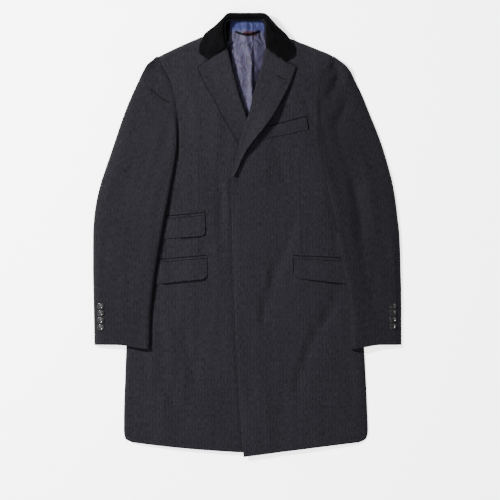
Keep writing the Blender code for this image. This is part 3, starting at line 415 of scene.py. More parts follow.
@dataclass
class Shell:
    """A cloth piece: points on its outer side, made finer, creased, and given a wall.

    Attributes:
        name: The piece's name.
        points: Coarse points on the outer side, as columns, rows and coordinates in millimetres.
        wall: Thickness of the cloth.
        spacing: Largest distance between fine points.
        grain: How the weave lies.
        upward: Whether the points are the lower side, and the wall grows up from them.
        hole: Tells the coarse cells that are left out.
        creases: Fine creases.
        ripple: Height of the shallow unevenness.
        seed: Seed of that unevenness.
        rim: Radius of the turned edges.
    """

    name: str
    points: np.ndarray
    wall: float
    spacing: float = 3.0
    grain: Grain = Grain.PLAN
    upward: bool = False
    hole: Callable[[int, int], bool] | None = None
    creases: Sequence[Crease] = ()
    ripple: float = 0.0
    seed: int = 11
    rim: float = 0.0
    fine: np.ndarray = field(init=False)
    cells: tuple[np.ndarray, np.ndarray] = field(init=False)
    area: float = field(init=False, default=0.0)
    cut: Spot = field(init=False, default=(0.0, 0.0))
    tree: BVHTree | None = field(init=False, default=None)

    def __post_init__(self) -> None:
        """Work out the fine points."""
        fine = self.points
        places = []
        for axis in (0, 1):
            fine = np.moveaxis(fine, axis, 0)
            lengths = np.linalg.norm(np.diff(fine, axis=0), axis=2).max(axis=1)
            counts = np.maximum(1, np.ceil(lengths / self.spacing)).astype(int)
            parts = [k + np.arange(count) / count for k, count in enumerate(counts)]
            spots = np.concatenate([*parts, [len(counts)]])
            fine = np.moveaxis(spline(fine, spots), 0, axis)
            places.append(spots)
        self.cells = (places[0], places[1])
        x, y, z = fine[..., 0], fine[..., 1], fine[..., 2].copy()
        firm = np.clip(z / FIRM_HEIGHT, 0.0, 1.0)
        z += self.ripple * ripple_field(x, y, self.seed) * firm
        z -= crease_field(self.creases, x, y) * firm
        self.fine = np.stack([x, y, z], axis=2)

    def uv(self) -> np.ndarray:
        """Places on the cloth, in metres, for every fine point."""
        if self.grain is Grain.PLAN:
            return self.fine[..., :2] * MM
        across = np.linalg.norm(np.diff(self.fine, axis=0), axis=2)
        along = np.linalg.norm(np.diff(self.fine, axis=1), axis=2)
        u = np.concatenate([np.zeros((1, across.shape[1])), np.cumsum(across, axis=0)])
        u -= u[len(u) // 2]
        v = np.concatenate([[0.0], np.cumsum(along.mean(axis=0))])
        return np.stack([u, np.broadcast_to(v, u.shape)], axis=2) * MM

    def faces(self) -> np.ndarray:
        """Corner numbers of the fine cells, without those of the hole."""
        columns, rows = self.fine.shape[:2]
        corners = np.arange(columns * rows).reshape(columns, rows)
        quads = np.stack([corners[:-1, :-1], corners[1:, :-1], corners[1:, 1:], corners[:-1, 1:]], axis=2)
        keep = np.ones((columns - 1, rows - 1), bool)
        if self.hole:
            for i in range(columns - 1):
                for j in range(rows - 1):
                    keep[i, j] = not self.hole(int(self.cells[0][i]), int(self.cells[1][j]))
        return quads[keep]

    def build(self, material: bpy.types.Material) -> bpy.types.Object:
        """Make the piece's mesh and object.

        Args:
            material: The cloth.

        Returns:
            The object, with its wall as a modifier.
        """
        faces = self.faces()
        places = self.fine.reshape(-1, 3) * MM
        first = np.cross(places[faces[:, 2]] - places[faces[:, 0]], places[faces[:, 3]] - places[faces[:, 1]])
        if first[:, 2].sum() < 0.0:
            faces = faces[:, ::-1]
        self.area = 0.5 * float(np.linalg.norm(first, axis=1).sum())
        widths = np.linalg.norm(np.diff(self.fine, axis=0), axis=2).sum(axis=0)
        lengths = np.linalg.norm(np.diff(self.fine, axis=1), axis=2).sum(axis=1)
        self.cut = (float(widths.max()) * MM, float(lengths.max()) * MM)

        mesh = bpy.data.meshes.new(f"{self.name}_cloth")
        mesh.from_pydata(places.tolist(), [], faces.tolist())
        layer = mesh.uv_layers.new(name=UV_NAME)
        spots = self.uv().reshape(-1, 2)
        layer.data.foreach_set("uv", spots[faces.reshape(-1)].astype(np.float32).ravel())
        loose = [v for v, used in enumerate(np.isin(np.arange(len(places)), faces)) if not used]
        if loose:
            tidy = bmesh.new()
            tidy.from_mesh(mesh)
            tidy.verts.ensure_lookup_table()
            bmesh.ops.delete(tidy, geom=[tidy.verts[v] for v in loose], context="VERTS")
            tidy.to_mesh(mesh)
            tidy.free()
        mesh.shade_smooth()
        mesh.materials.append(material)
        piece = put(mesh.name, mesh)
        self.tree = BVHTree.FromPolygons(places.tolist(), faces.tolist())
        wall = piece.modifiers.new("wall", "SOLIDIFY")
        wall.thickness = self.wall * MM
        wall.offset = 1.0 if self.upward else -1.0
        if self.rim:
            rim = piece.modifiers.new("rim", "BEVEL")
            rim.width = self.rim * MM
            rim.segments = 2
            rim.limit_method = "ANGLE"
            rim.angle_limit = RIM_ANGLE
            rim.harden_normals = True
        else:
            mesh.set_sharp_from_angle(angle=SHARP_ANGLE)
        return piece

    def height_at(self, x: float, y: float) -> float:
        """Height of the finished outer side at a place, in millimetres."""
        place, _, _, _ = self.tree.ray_cast(Vector((x * MM, y * MM, 1.0)), Vector((0.0, 0.0, -1.0)))
        return place.z / MM if place else 0.0


class SubAssembly:
    """A group of pieces, each of which rides with the coat and stands for its solid."""

    def dress(self, shell: Shell, material: bpy.types.Material, slot: str, rests_on: Sequence[str],
              trims: Sequence[bpy.types.Object] = ()) -> None:
        """Args:
            shell: The piece.
            material: Its cloth.
            slot: The record's material slot; not used.
            rests_on: Names of what it lies on; not used.
            trims: Narrow pieces that are sewn to it; not used.
        """
        piece = self.lay(shell, material, slot)
        width, length = shell.cut
        area = min(shell.area, width * length)

    def lay(self, shell: Shell, material: bpy.types.Material, slot: str) -> bpy.types.Object:
        """Build a cloth piece that stands for the solid of its name."""
        piece = shell.build(material)
        self.join(piece, slot, [shell.name])
        LOG.info("%s: %.0f x %.0f mm of cloth", shell.name, shell.cut[0] / MM, shell.cut[1] / MM)
        return piece

    def join(self, piece: bpy.types.Object, slot: str, nodes: Sequence[str]) -> None:
        """Let a piece ride with the coat and stand for its solids."""
        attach(piece, "root")
        if nodes:
            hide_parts(*nodes)


def grid(point: Callable[[int, int], Point], columns: int, rows: int) -> np.ndarray:
    """Coarse points of a piece, as an array of columns and rows."""
    return np.array([[point(i, j) for j in range(rows)] for i in range(columns)], float)


# Walls of cloth, air between layers, seams, lips at the surface and rounded edges, in millimetres
CLOTH = 2.0
VELVET = 2.2
SATIN = 1.0
GAP = 0.5
SEAM = 0.3
LIP = 2.0
LAID_AIR = 0.15
BREAK_Y = 132.0
GORGE_Y = 434.0
EDGE_ROUND = 10.0
# Outlines of the laid coat
SIDE_SEAM = table(
    Edge, (-476, -266, 259), (-471, -279, 271.5), (-448, -284, 277.7), (-410, -283.8, 276.3),
    (-333, -281.2, 272.9), (-264, -278.6, 269.2), (-125, -268, 261), (-30, -256, 253), (70, -250, 248),
    (159, -265, 265),
)
ARMHOLE = table(
    Edge, (159, -265, 265), (168, -241, 241), (180, -216, 216), (194, -194, 195), (210, -180, 182),
    (230, -172, 174), (254, -168.5, 170), (283, -168, 168.5), (310, -171.5, 169.5), (338, -178, 172.5),
    (361, -187, 178.5), (380, -197, 187), (398, -205.5, 194.5), (410.6, -208, 197),
)
SLEEVE_SEAM = table(
    Edge, (283, -162.7, 162.7), (310.5, -167, 164), (338, -173, 167.5), (361, -182, 173.5),
    (379.5, -192.5, 182.5), (398, -202.5, 192), (411, -208, 197.5),
)
BACK_ARMHOLE = table(
    Edge, (154, -259, 259), (190, -203, 202), (240, -190, 188), (320, -192, 187), (365, -199, 190),
    (400, -205, 194),
)
BACK_NECK = {
    Side.RIGHT: ((-52.0, 448.5), (-52.0, 487.0), (-45.0, 498.5), (-0.15, 498.5)),
    Side.LEFT: ((47.0, 445.5), (46.5, 486.0), (39.5, 498.5), (0.15, 498.5)),
}
SHOULDER = table(
    Across, (56, 452, 449), (88, 455, 452.6), (102, 456.4, 451.6), (112, 453, 447), (136, 443, 438),
    (164, 430.2, 426.5), (181, 422, 420), (197, 414.2, 412), (208, 408.6, 406),
)
SHOULDER_POINT = {Side.RIGHT: (-208.0, 408.6), Side.LEFT: (197.0, 412.0)}
FRONT_EDGE = table(
    Edge, (-510, 24, -8.5), (-379, 25, -18.5), (-241, 26, -26), (-126, 27, -30.5), (-11, 28, -35),
    (80, 31, -36.4), (132, 35, -37.4),
)
ROLL = table(
    Edge, (132, 39, -37.4), (168, 29.3, -28), (210, 18, -17.8), (240, 9.5, -10), (265, 1, -1), (290, -6.5, 6.7),
    (322, -16.7, 13.2), (357, -26, 23.2), (391, -35, 33.5), (421, -42, 39.6), (434, -46.5, 42),
)
HEIGHTS = table(
    Height, (-510, 13, 7), (-380, 16, 7.5), (-240, 20, 8), (-60, 23, 8), (70, 25, 8), (160, 31, 8.5),
    (280, 36, 10.5), (380, 36, 13), (440, 35, 14),
)
BODY_FOLDS = table(
    Fold, (-145, -225, -118, -351, 17, 3.2), (-205, -338, -136, -443, 17, 3), (-56, 90, -54, -150, 13, 1.8),
    (112, 40, 66, -80, 17, 2.4), (66, -80, 36, -205, 16, 2.8), (212, -135, 160, -222, 18, 3.4),
    (160, -222, 112, -360, 17, 3),
)
FRONT_ROWS = (
    -476.0, -468.0, -448.0, -415.0, -380.0, -342.0, -304.0, -264.0, -222.0, -180.0, -138.0, -96.0, -54.0,
    -12.0, 30.0, 70.0, 106.0, 136.0, 159.0, 168.0, 180.0, 194.0, 210.0, 230.0, 262.0, 294.0, 324.0, 350.0,
    374.0,
)


@dataclass(frozen=True)
class Body:
    """The laid body of the coat: its outline and the height of its outer side."""

    below_hem: float = -700.0
    fill_reach: float = 150.0
    lap_lift: float = 2.6
    lap_across: Span = Span(36.0, 34.0)
    lap_up: Span = Span(255.0, 80.0)
    tip_lift: float = 3.9
    tip_across: Span = Span(44.0, 36.0)
    tip_from: Span = Span(95.0, 40.0)
    tip_up: Span = Span(280.0, 60.0)

    def outline(self, side: Side) -> list[Spot]:
        """Points of the coat's outer edge on one side: side seam, a line across the armhole, shoulder."""
        points = [(side.of(SIDE_SEAM[0]), self.below_hem)]
        points += [(side.of(row), row.y) for row in SIDE_SEAM]
        reach = abs(SHOULDER_POINT[side][0])
        points += [(side.value * row.x, side.of(row)) for row in reversed(SHOULDER) if row.x <= reach]
        return points

    def edge_distance(self, x: float, y: float) -> float:
        """Distance in plan from a point of the body to the coat's outer edge."""
        outline = OUTLINES[Side.RIGHT if x < 0.0 else Side.LEFT]
        return min(segment_distance(x, y, *ends) for ends in zip(outline, outline[1:]))

    def plateau(self, x: float, y: float) -> float:
        """Height of the body's outer side, without the round of its edge."""
        edge = curve(HEIGHTS, "edge", y)
        fill = math.sin(0.5 * math.pi * min(self.edge_distance(x, y) / self.fill_reach, 1.0))
        return edge + (curve(HEIGHTS, "top", y) - edge) * fill

    def height(self, x: float, y: float, cover: float = 0.0) -> float:
        """Height of the body's outer side, or of a layer that covers it by that much."""
        distance = self.edge_distance(x, y)
        edge = curve(HEIGHTS, "edge", y)
        rounding = round_share(distance + cover, EDGE_ROUND + cover)
        return self.plateau(x, y) - edge + (edge + cover) * rounding - fold_depth(BODY_FOLDS, x, y)

    def front_height(self, side: Side, x: float, y: float) -> float:
        """Height of a front's outer side: the left one is lifted over the right one and its lapel's end."""
        if side is Side.RIGHT:
            return self.height(x, y)
        lap = self.lap_lift * (1.0 - past(self.lap_across, x)) * (1.0 - past(self.lap_up, y))
        tip = self.tip_lift * (1.0 - past(self.tip_across, x)) * past(self.tip_from, y)
        return self.height(x, y) + lap + tip * (1.0 - past(self.tip_up, y))


BODY = Body()
OUTLINES = {side: BODY.outline(side) for side in Side}


@dataclass
class Panels(SubAssembly):
    """The two fronts and the two back panels."""

    columns: int = 12
    side_insets: tuple[float, ...] = (10.0, 5.0, 1.4, 0.0, 0.0)
    armhole_insets: tuple[float, ...] = (10.0, 6.0, 3.0, 1.2, 0.0)
    shoulder_insets: tuple[float, ...] = (10.0, 5.0, 1.4, 0.0, 0.0)
    underarm_lift: float = 1.1
    shoulder_climb: float = 160.0
    shoulder_slope: float = 24.0
    shoulder_bend: Span = Span(330.0, 80.0)
    underarm_widening: float = 1.6
    underarm_span: Span = Span(160.0, 60.0)
    break_span: Span = Span(126.0, 24.0)
    neck_flare: float = 3.0
    neck_span: Span = Span(GORGE_Y, 10.0)
    roll_reach: float = 6.5
    hem_side_y: float = -476.0
    hem_blend: float = 110.0
    back_inset: float = 4.2
    back_hem_inset: float = 4.0
    back_shoulder_inset: float = 5.0
    back_top_side_y: float = 136.0
    hem_in: Both = Both(-500.5, -509.5)
    hem_bow: Both = Both(-3.5, 0.5)

    def inner(self, side: Side, y: float) -> float:
        """Where a front ends towards the middle: its front edge, the lapel's turn, then the neck."""
        if y <= self.break_span.start:
            return curve(FRONT_EDGE, side.word, y)
        start = curve(FRONT_EDGE, side.word, min(y, BREAK_Y))
        rolled = curve(ROLL, side.word, min(y, GORGE_Y)) + side.value * self.roll_reach
        return mix(start, rolled, past(self.break_span, y)) + side.value * self.neck_flare * past(self.neck_span, y)

    def front_point(self, side: Side, column: int, row: int) -> Point:
        """Point on the outer side of a front.

        Args:
            side: Which front.
            column: Column, from the front edge out.
            row: Row, from the hem up.

        Returns:
            The point, in millimetres.
        """
        last_column = self.columns + len(self.side_insets) - 1
        last_row = len(FRONT_ROWS) + len(self.shoulder_insets) - 1
        outer_y = FRONT_ROWS[row] if row < len(FRONT_ROWS) else SHOULDER_POINT[side][1]
        on_side = outer_y <= SIDE_SEAM[-1].y
        outer_x = curve(SIDE_SEAM if on_side else ARMHOLE, side.word, outer_y)
        hem = 1.0 - smooth((outer_y - self.hem_side_y) / self.hem_blend)
        climb = smooth((outer_y - self.shoulder_climb) / (ARMHOLE[-1].y - self.shoulder_climb))
        inner_y = outer_y + (side.of(self.hem_in) - self.hem_side_y) * hem
        inner_y += (side.of(SHOULDER[0]) - ARMHOLE[-1].y) * climb
        inner_x = self.inner(side, inner_y)

        if column < self.columns:
            x = mix(inner_x, outer_x - side.value * EDGE_ROUND, column / self.columns)
        else:
            inset = (self.side_insets if on_side else self.armhole_insets)[column - self.columns]
            if not on_side:
                inset *= 1.0 + self.underarm_widening * (1.0 - past(self.underarm_span, outer_y))
            x = outer_x - side.value * inset
        across = (x - inner_x) / (outer_x - inner_x)
        y = mix(inner_y, outer_y, across) + side.of(self.hem_bow) * 4.0 * across * (1.0 - across) * hem
        if row < len(FRONT_ROWS):
            chord = mix(side.of(SHOULDER[0]), SHOULDER_POINT[side][1], across)
            bend = max(0.0, (outer_y - self.shoulder_bend.start) / self.shoulder_bend.length)
            y += (curve(SHOULDER, side.word, abs(x)) - chord) * bend ** 2
        else:
            inset = self.shoulder_insets[row - len(FRONT_ROWS)]
            y = curve(SHOULDER, side.word, abs(x)) - inset / math.cos(math.radians(self.shoulder_slope))

        if row == last_row or (on_side and column == last_column):
            lifted = outer_y == SIDE_SEAM[-1].y and column == last_column
            return x, y, self.underarm_lift if lifted else 0.0
        if row == last_row - 1 or (on_side and column == last_column - 1):
            return x, y, LIP
        return x, y, BODY.front_height(side, x, y)

    def front(self, side: Side) -> Shell:
        """A front, from its edge to the side seam and the armhole."""
        points = grid(lambda i, j: self.front_point(side, i, j), self.columns + len(self.side_insets),
                      len(FRONT_ROWS) + len(self.shoulder_insets))
        return Shell(f"front_{side.word}", points, CLOTH, spacing=3.2, creases=BODY_CREASES, ripple=0.42)

    def back_outline(self, side: Side) -> list[Spot]:
        """Corners of a back panel, inside the fronts' outline."""
        word, sign = side.word, side.value
        bottom = self.hem_side_y + self.back_hem_inset
        outline = [(sign * 0.5 * SEAM, self.hem_in.right + self.back_hem_inset)]
        outline.append((side.of(SIDE_SEAM[0]) - sign * self.back_inset, bottom))
        outline += [(curve(SIDE_SEAM, word, y) - sign * self.back_inset, y)
                    for y in FRONT_ROWS[2:] if y <= self.back_top_side_y]
        outline += [(side.of(row), row.y) for row in BACK_ARMHOLE]
        reach = abs(side.of(BACK_ARMHOLE[-1])) - self.back_inset
        outline += [(sign * row.x, side.of(row) - self.back_shoulder_inset)
                    for row in reversed(SHOULDER) if row.x < reach]
        return outline + list(BACK_NECK[side])

    def back(self, side: Side, material: bpy.types.Material) -> None:
        """Build a flat back panel.

        Args:
            side: Which panel.
            material: The cloth.
        """
        outline = self.back_outline(side)
        flat = bpy.data.curves.new("back_outline", "CURVE")
        flat.dimensions = "2D"
        flat.fill_mode = "BOTH"
        flat.extrude = 0.5 * CLOTH * MM
        line = flat.splines.new("POLY")
        line.points.add(len(outline) - 1)
        for spot, (x, y) in zip(line.points, outline):
            spot.co = (x * MM, y * MM, 0.0, 1.0)
        line.use_cyclic_u = True
        mesh = plain_mesh(put("back_outline", flat), f"back_{side.word}_cloth")
        for vertex in mesh.vertices:
            vertex.co.z += 0.5 * CLOTH * MM
        for layer in list(mesh.uv_layers):
            mesh.uv_layers.remove(layer)
        layer = mesh.uv_layers.new(name=UV_NAME)
        for loop in mesh.loops:
            layer.data[loop.index].uv = mesh.vertices[loop.vertex_index].co.xy
        mesh.materials.clear()
        mesh.materials.append(material)
        panel = put(mesh.name, mesh)
        self.join(panel, "wool", [f"back_{side.word}"])
        width, length = (max(part) - min(part) for part in zip(*outline))
        loops = zip(outline, outline[1:] + outline[:1])
        area = 0.5 * abs(sum(a[0] * b[1] - b[0] * a[1] for a, b in loops)) * MM * MM
        width * MM
        length * MM
        LOG.info("back_%s: %d corners", side.word, len(outline))

    def build(self, cloth: Materials) -> dict[Side, Shell]:
        """Build the four panels.

        Args:
            cloth: The finished materials by name.

        Returns:
            The fronts, for what is sewn to them.
        """
        fronts = {}
        for side in Side:
            self.back(side, cloth["back"])
            fronts[side] = self.front(side)
            below = [f"back_{side.word}"] + (["front_right"] if side is Side.LEFT else [])
            self.dress(fronts[side], cloth[f"front_{side.word}"], "wool", below)
        return fronts


LAPELS = {
    Side.RIGHT: table(
        LapelRow, (152, 23, 154, 3.6, 2.8), (178, 5.5, 175, 3.6, 2.8), (208, -16, 207, 3.6, 2.8),
        (240, -36.5, 241, 3.6, 2.8), (275, -58, 279, 4.4, 2.9), (314, -77.5, 318, 9.5, 3.2),
        (358, -96.5, 348.5, 10, 3.8), (400, -107, 371.5, 10, 4.4), (434, -112, 382.2, 10, 5),
    ),
    Side.LEFT: table(
        LapelRow, (136.5, -31, 134, 4, 3), (152, -21.5, 152, 4.6, 3.6), (176, -8, 183, 5, 5.5),
        (208, 10, 210.5, 7.2, 12), (240, 35.5, 242, 9, 14), (277, 61, 278, 10, 12.5), (318, 82, 317, 10, 8.5),
        (358, 98.5, 350, 10, 6), (398, 106.5, 372.5, 10, 5), (430, 111.4, 384.2, 10, 4.6),
    ),
}
TURN_ANGLES = (-90.0, -76.0, -42.0, -6.0, 32.0, 62.0, 90.0)


@dataclass
class Lapels(SubAssembly):
    """The turned-back lapels."""

    rows: int = 17
    turn: float = 5.6
    tightest_turn: float = 2.4
    widest_turn: float = 0.46
    shares: tuple[float, ...] = (0.16, 0.36, 0.58, 0.8, 1.0)
    belly: float = 1.6
    belly_rise: float = 12.0
    gorge_sag: Both = Both(-0.5, -4.0)
    gorge_sag_bend: int = 6
    gorge_lean: float = 1.3
    gorge_gap: float = 0.7
    gorge_gap_bend: int = 8
    spring: Both = Both(1.1, 1.5)
    low_spring: Both = Both(1.1, 3.6)
    low_reach: float = 0.4

    def point(self, side: Side, column: int, row: int) -> Point:
        """Point on the outer side of a lapel, from its seam to the front round the roll to its edge.

        Args:
            side: Which lapel.
            column: Column, from the seam out.
            row: Row, from the break up.

        Returns:
            The point, in millimetres.
        """
        place = row / (self.rows - 1)
        line = station(LAPELS[side], place)
        roll_x = curve(ROLL, side.word, line.y)
        roll_y = line.y - self.gorge_gap * place ** self.gorge_gap_bend
        width = math.hypot(line.edge_x - roll_x, line.edge_y - roll_y)
        half = 0.5 * (line.roll_rise + CLOTH)
        turn = min(self.turn, self.widest_turn * width, half * half / self.tightest_turn)
        if column < len(TURN_ANGLES):
            angle = math.radians(TURN_ANGLES[column])
            reach = turn * (1.0 - math.cos(angle))
            rise = half - CLOTH + half * math.sin(angle)
        else:
            share = self.shares[column - len(TURN_ANGLES)]
            reach = mix(turn, width, share)
            belly = self.belly * math.sin(math.pi * share) * min(1.0, line.edge_rise / self.belly_rise)
            spring = mix(side.of(self.low_spring), side.of(self.spring), smooth(place / self.low_reach))
            rise = mix(line.roll_rise, spring * line.edge_rise, smooth(share)) - belly
        across = reach / width
        sag = side.of(self.gorge_sag) * place ** self.gorge_sag_bend
        x = mix(roll_x, line.edge_x, across)
        y = mix(roll_y, line.edge_y, across) + sag * math.sin(math.pi * across ** self.gorge_lean)
        return x, y, BODY.front_height(side, x, y) + rise

    def build(self, cloth: Materials) -> dict[Side, Shell]:
        """Build both lapels.

        Args:
            cloth: The finished materials by name.

        Returns:
            The lapels, for the buttonhole.
        """
        lapels = {}
        for side in Side:
            points = grid(lambda i, j: self.point(side, i, j), len(TURN_ANGLES) + len(self.shares), self.rows)
            lapels[side] = Shell(f"lapel_{side.word}", points, CLOTH, spacing=2.2, grain=Grain.ALONG,
                                 creases=LAPEL_CREASES, ripple=0.3, rim=0.7)
            self.dress(lapels[side], cloth["lapel"], "wool", [f"front_{side.word}"])
        return lapels


COLLAR = table(
    CollarRow, (-46.5, 434.7, -88.4, 401.4, 5.6, 27, 5.6, 40, 31, 30.4),
    (-49, 444, -108, 415.5, 3, 21, 6, 41.5, 28, 27), (-50, 455, -110.5, 427, -1.5, 13, 6.5, 42.5, 26, 25),
    (-50.5, 467, -107, 444, -7, 7.8, 7.5, 43, 24.5, 21), (-50.5, 479, -98, 462.5, -9, 5.6, 8, 43, 24, 3),
    (-49, 488, -77.5, 477.8, -6, 5.4, 8, 42, 33, 1), (-43, 492.8, -56.5, 497.4, -2, 4.6, 7.6, 40, 38.5, 1),
    (-36, 493.4, -44.6, 508.6, 0, 3, 7.8, 39.5, 38, 1), (-21, 493.4, -22.5, 509.4, 0, 2.4, 8, 39, 38, 1),
    (-2, 493.4, -2, 509.4, 0, 2.4, 8, 38.5, 38, 1), (17, 493.4, 18.5, 509.4, 0, 2.4, 8, 39, 38, 1),
    (33.5, 493.2, 40.6, 508.6, 0, 2.4, 8, 39.5, 37.5, 1), (38.6, 490.6, 53, 498.2, 0, 2.4, 8, 40, 35, 1),
    (41, 486, 72, 477.4, 0, 2.4, 8, 42, 31, 1), (41.3, 477, 91, 460.5, 0, 3.4, 8, 43, 24, 3),
    (41.3, 465, 103, 441.5, 0, 7, 7.5, 43, 24.5, 21), (41.5, 453, 107.8, 425.5, 1, 13, 6.5, 42.5, 26.5, 25.5),
    (42, 441, 105, 411.5, 3, 21, 6, 42, 30, 29.4), (42, 431.3, 85.4, 398.4, 5.6, 28, 5.6, 41, 32, 32),
)


@dataclass
class Collar(SubAssembly):
    """The velvet collar: stand, roll and fall in one."""

    rows: int = 37
    fall_shares: tuple[float, ...] = (0.16, 0.36, 0.56, 0.75, 0.89, 0.97, 1.0)
    fall_round: Spot = (8.0, 5.0)
    fall_width: Span = Span(16.0, 30.0)

    def point(self, column: int, row: int) -> Point:
        """Point on the outer side of the collar: up the stand, round the roll and down the fall.

        Args:
            column: Column, from the stand's seam out.
            row: Row, from the right gorge round the neck to the left one.

        Returns:
            The point, in millimetres.
        """
        line = station(COLLAR, row / (self.rows - 1))
        width = math.hypot(line.edge_x - line.line_x, line.edge_y - line.line_y)
        if column < len(TURN_ANGLES):
            angle = math.radians(TURN_ANGLES[column])
            reach = (line.seam_in if angle < 0.0 else line.turn) * (1.0 - math.cos(angle))
            z = line.seam_z + 0.5 * (line.top_z - line.seam_z) * (1.0 + math.sin(angle))
        else:
            share = self.fall_shares[column - len(TURN_ANGLES)]
            reach = mix(line.turn, width, share)
            rounding = mix(*self.fall_round, past(self.fall_width, width))
            z = mix(line.top_z, line.fall_z, smooth(share))
            z -= min(z - line.edge_z, rounding) * (1.0 - round_share(width - reach, rounding))
            if share == 1.0:
                z = line.edge_z
        across = reach / width
        return mix(line.line_x, line.edge_x, across), mix(line.line_y, line.edge_y, across), z

    def build(self, cloth: Materials) -> None:
        """Build the collar.

        Args:
            cloth: The finished materials by name.
        """
        points = grid(self.point, len(TURN_ANGLES) + len(self.fall_shares), self.rows)
        collar = Shell("collar", points, VELVET, spacing=2.0, grain=Grain.ALONG, rim=0.7)
        self.dress(collar, cloth["velvet"], "velvet",
                   ["back_right", "back_left", "front_right", "front_left", "lining"])


SLEEVE_INNER = table(
    Edge, (-262, -221.4, 235.8), (-195, -220, 236), (-149, -216, 232.5), (-103, -211, 226), (-57, -204, 217),
    (-11, -196, 204.5), (35, -187.5, 194), (81, -179, 184.5), (127, -170.5, 176.3), (173, -162.5, 170),
    (219, -158.8, 165.5), (253, -160, 163.5), (283, -162.7, 162.7),
)
SLEEVE_OUTER = table(
    Edge, (-252, -351.8, 354.6), (-149.5, -353.5, 354.6), (-80, -355, 353), (-11, -355, 351),
    (35, -352.8, 346.5), (81, -346.5, 341), (127, -334.8, 332.7), (173, -319, 320), (219, -303.5, 305.8),
    (265, -288, 287), (311, -270, 269), (357, -249, 247.3), (380, -238, 235.8), (393, -230, 224.4),
    (404, -217, 209.6), (412, -207.5, 198.6),
)
SLEEVE_FULLNESS = table(
    Fullness, (0, 8), (0.12, 11.5), (0.3, 15), (0.65, 15), (1, 14),
)
SLEEVE_FOLDS = table(
    Fold, (-219, 336, -188, 306, 9, 2.2), (-330, 60, -245, -10, 15, 2.4), (210, 372, 190, 322, 9, 2.4),
    (231, 312, 205, 262, 10, 2.2), (236, 138, 266, -11, 15, 3.6), (266, -11, 288, -160, 14, 2.6),
)
UNDER_EDGE = table(
    Edge, (153, -268, 268), (160, -270.5, 270.5), (167, -270, 270), (178, -240, 240), (192, -204, 202),
    (215, -197, 195.5), (250, -192, 190), (290, -192.5, 189.5), (330, -195, 190), (354, -199.5, 192),
    (373, -203, 194),
)
SLEEVE_ROWS = (0.0, 0.012, 0.03, 0.055, 0.09, 0.14, 0.2, 0.26, 0.32, 0.38, 0.44, 0.5, 0.56, 0.62, 0.68, 0.74,
               0.8, 0.87, 0.94, 1.0)
UNDER_ROWS = (-254.0, -225.0, -190.0, -150.0, -110.0, -70.0, -30.0, 10.0, 50.0, 90.0, 125.0, 153.0, 160.0,
              167.0, 178.0, 192.0, 215.0, 250.0, 290.0, 330.0, 354.0, 373.0)
TOP_IN, LOW_IN = SLEEVE_INNER[-1].y, SLEEVE_INNER[0].y
TOP_OUT, LOW_OUT = SLEEVE_OUTER[-1].y, SLEEVE_OUTER[0].y


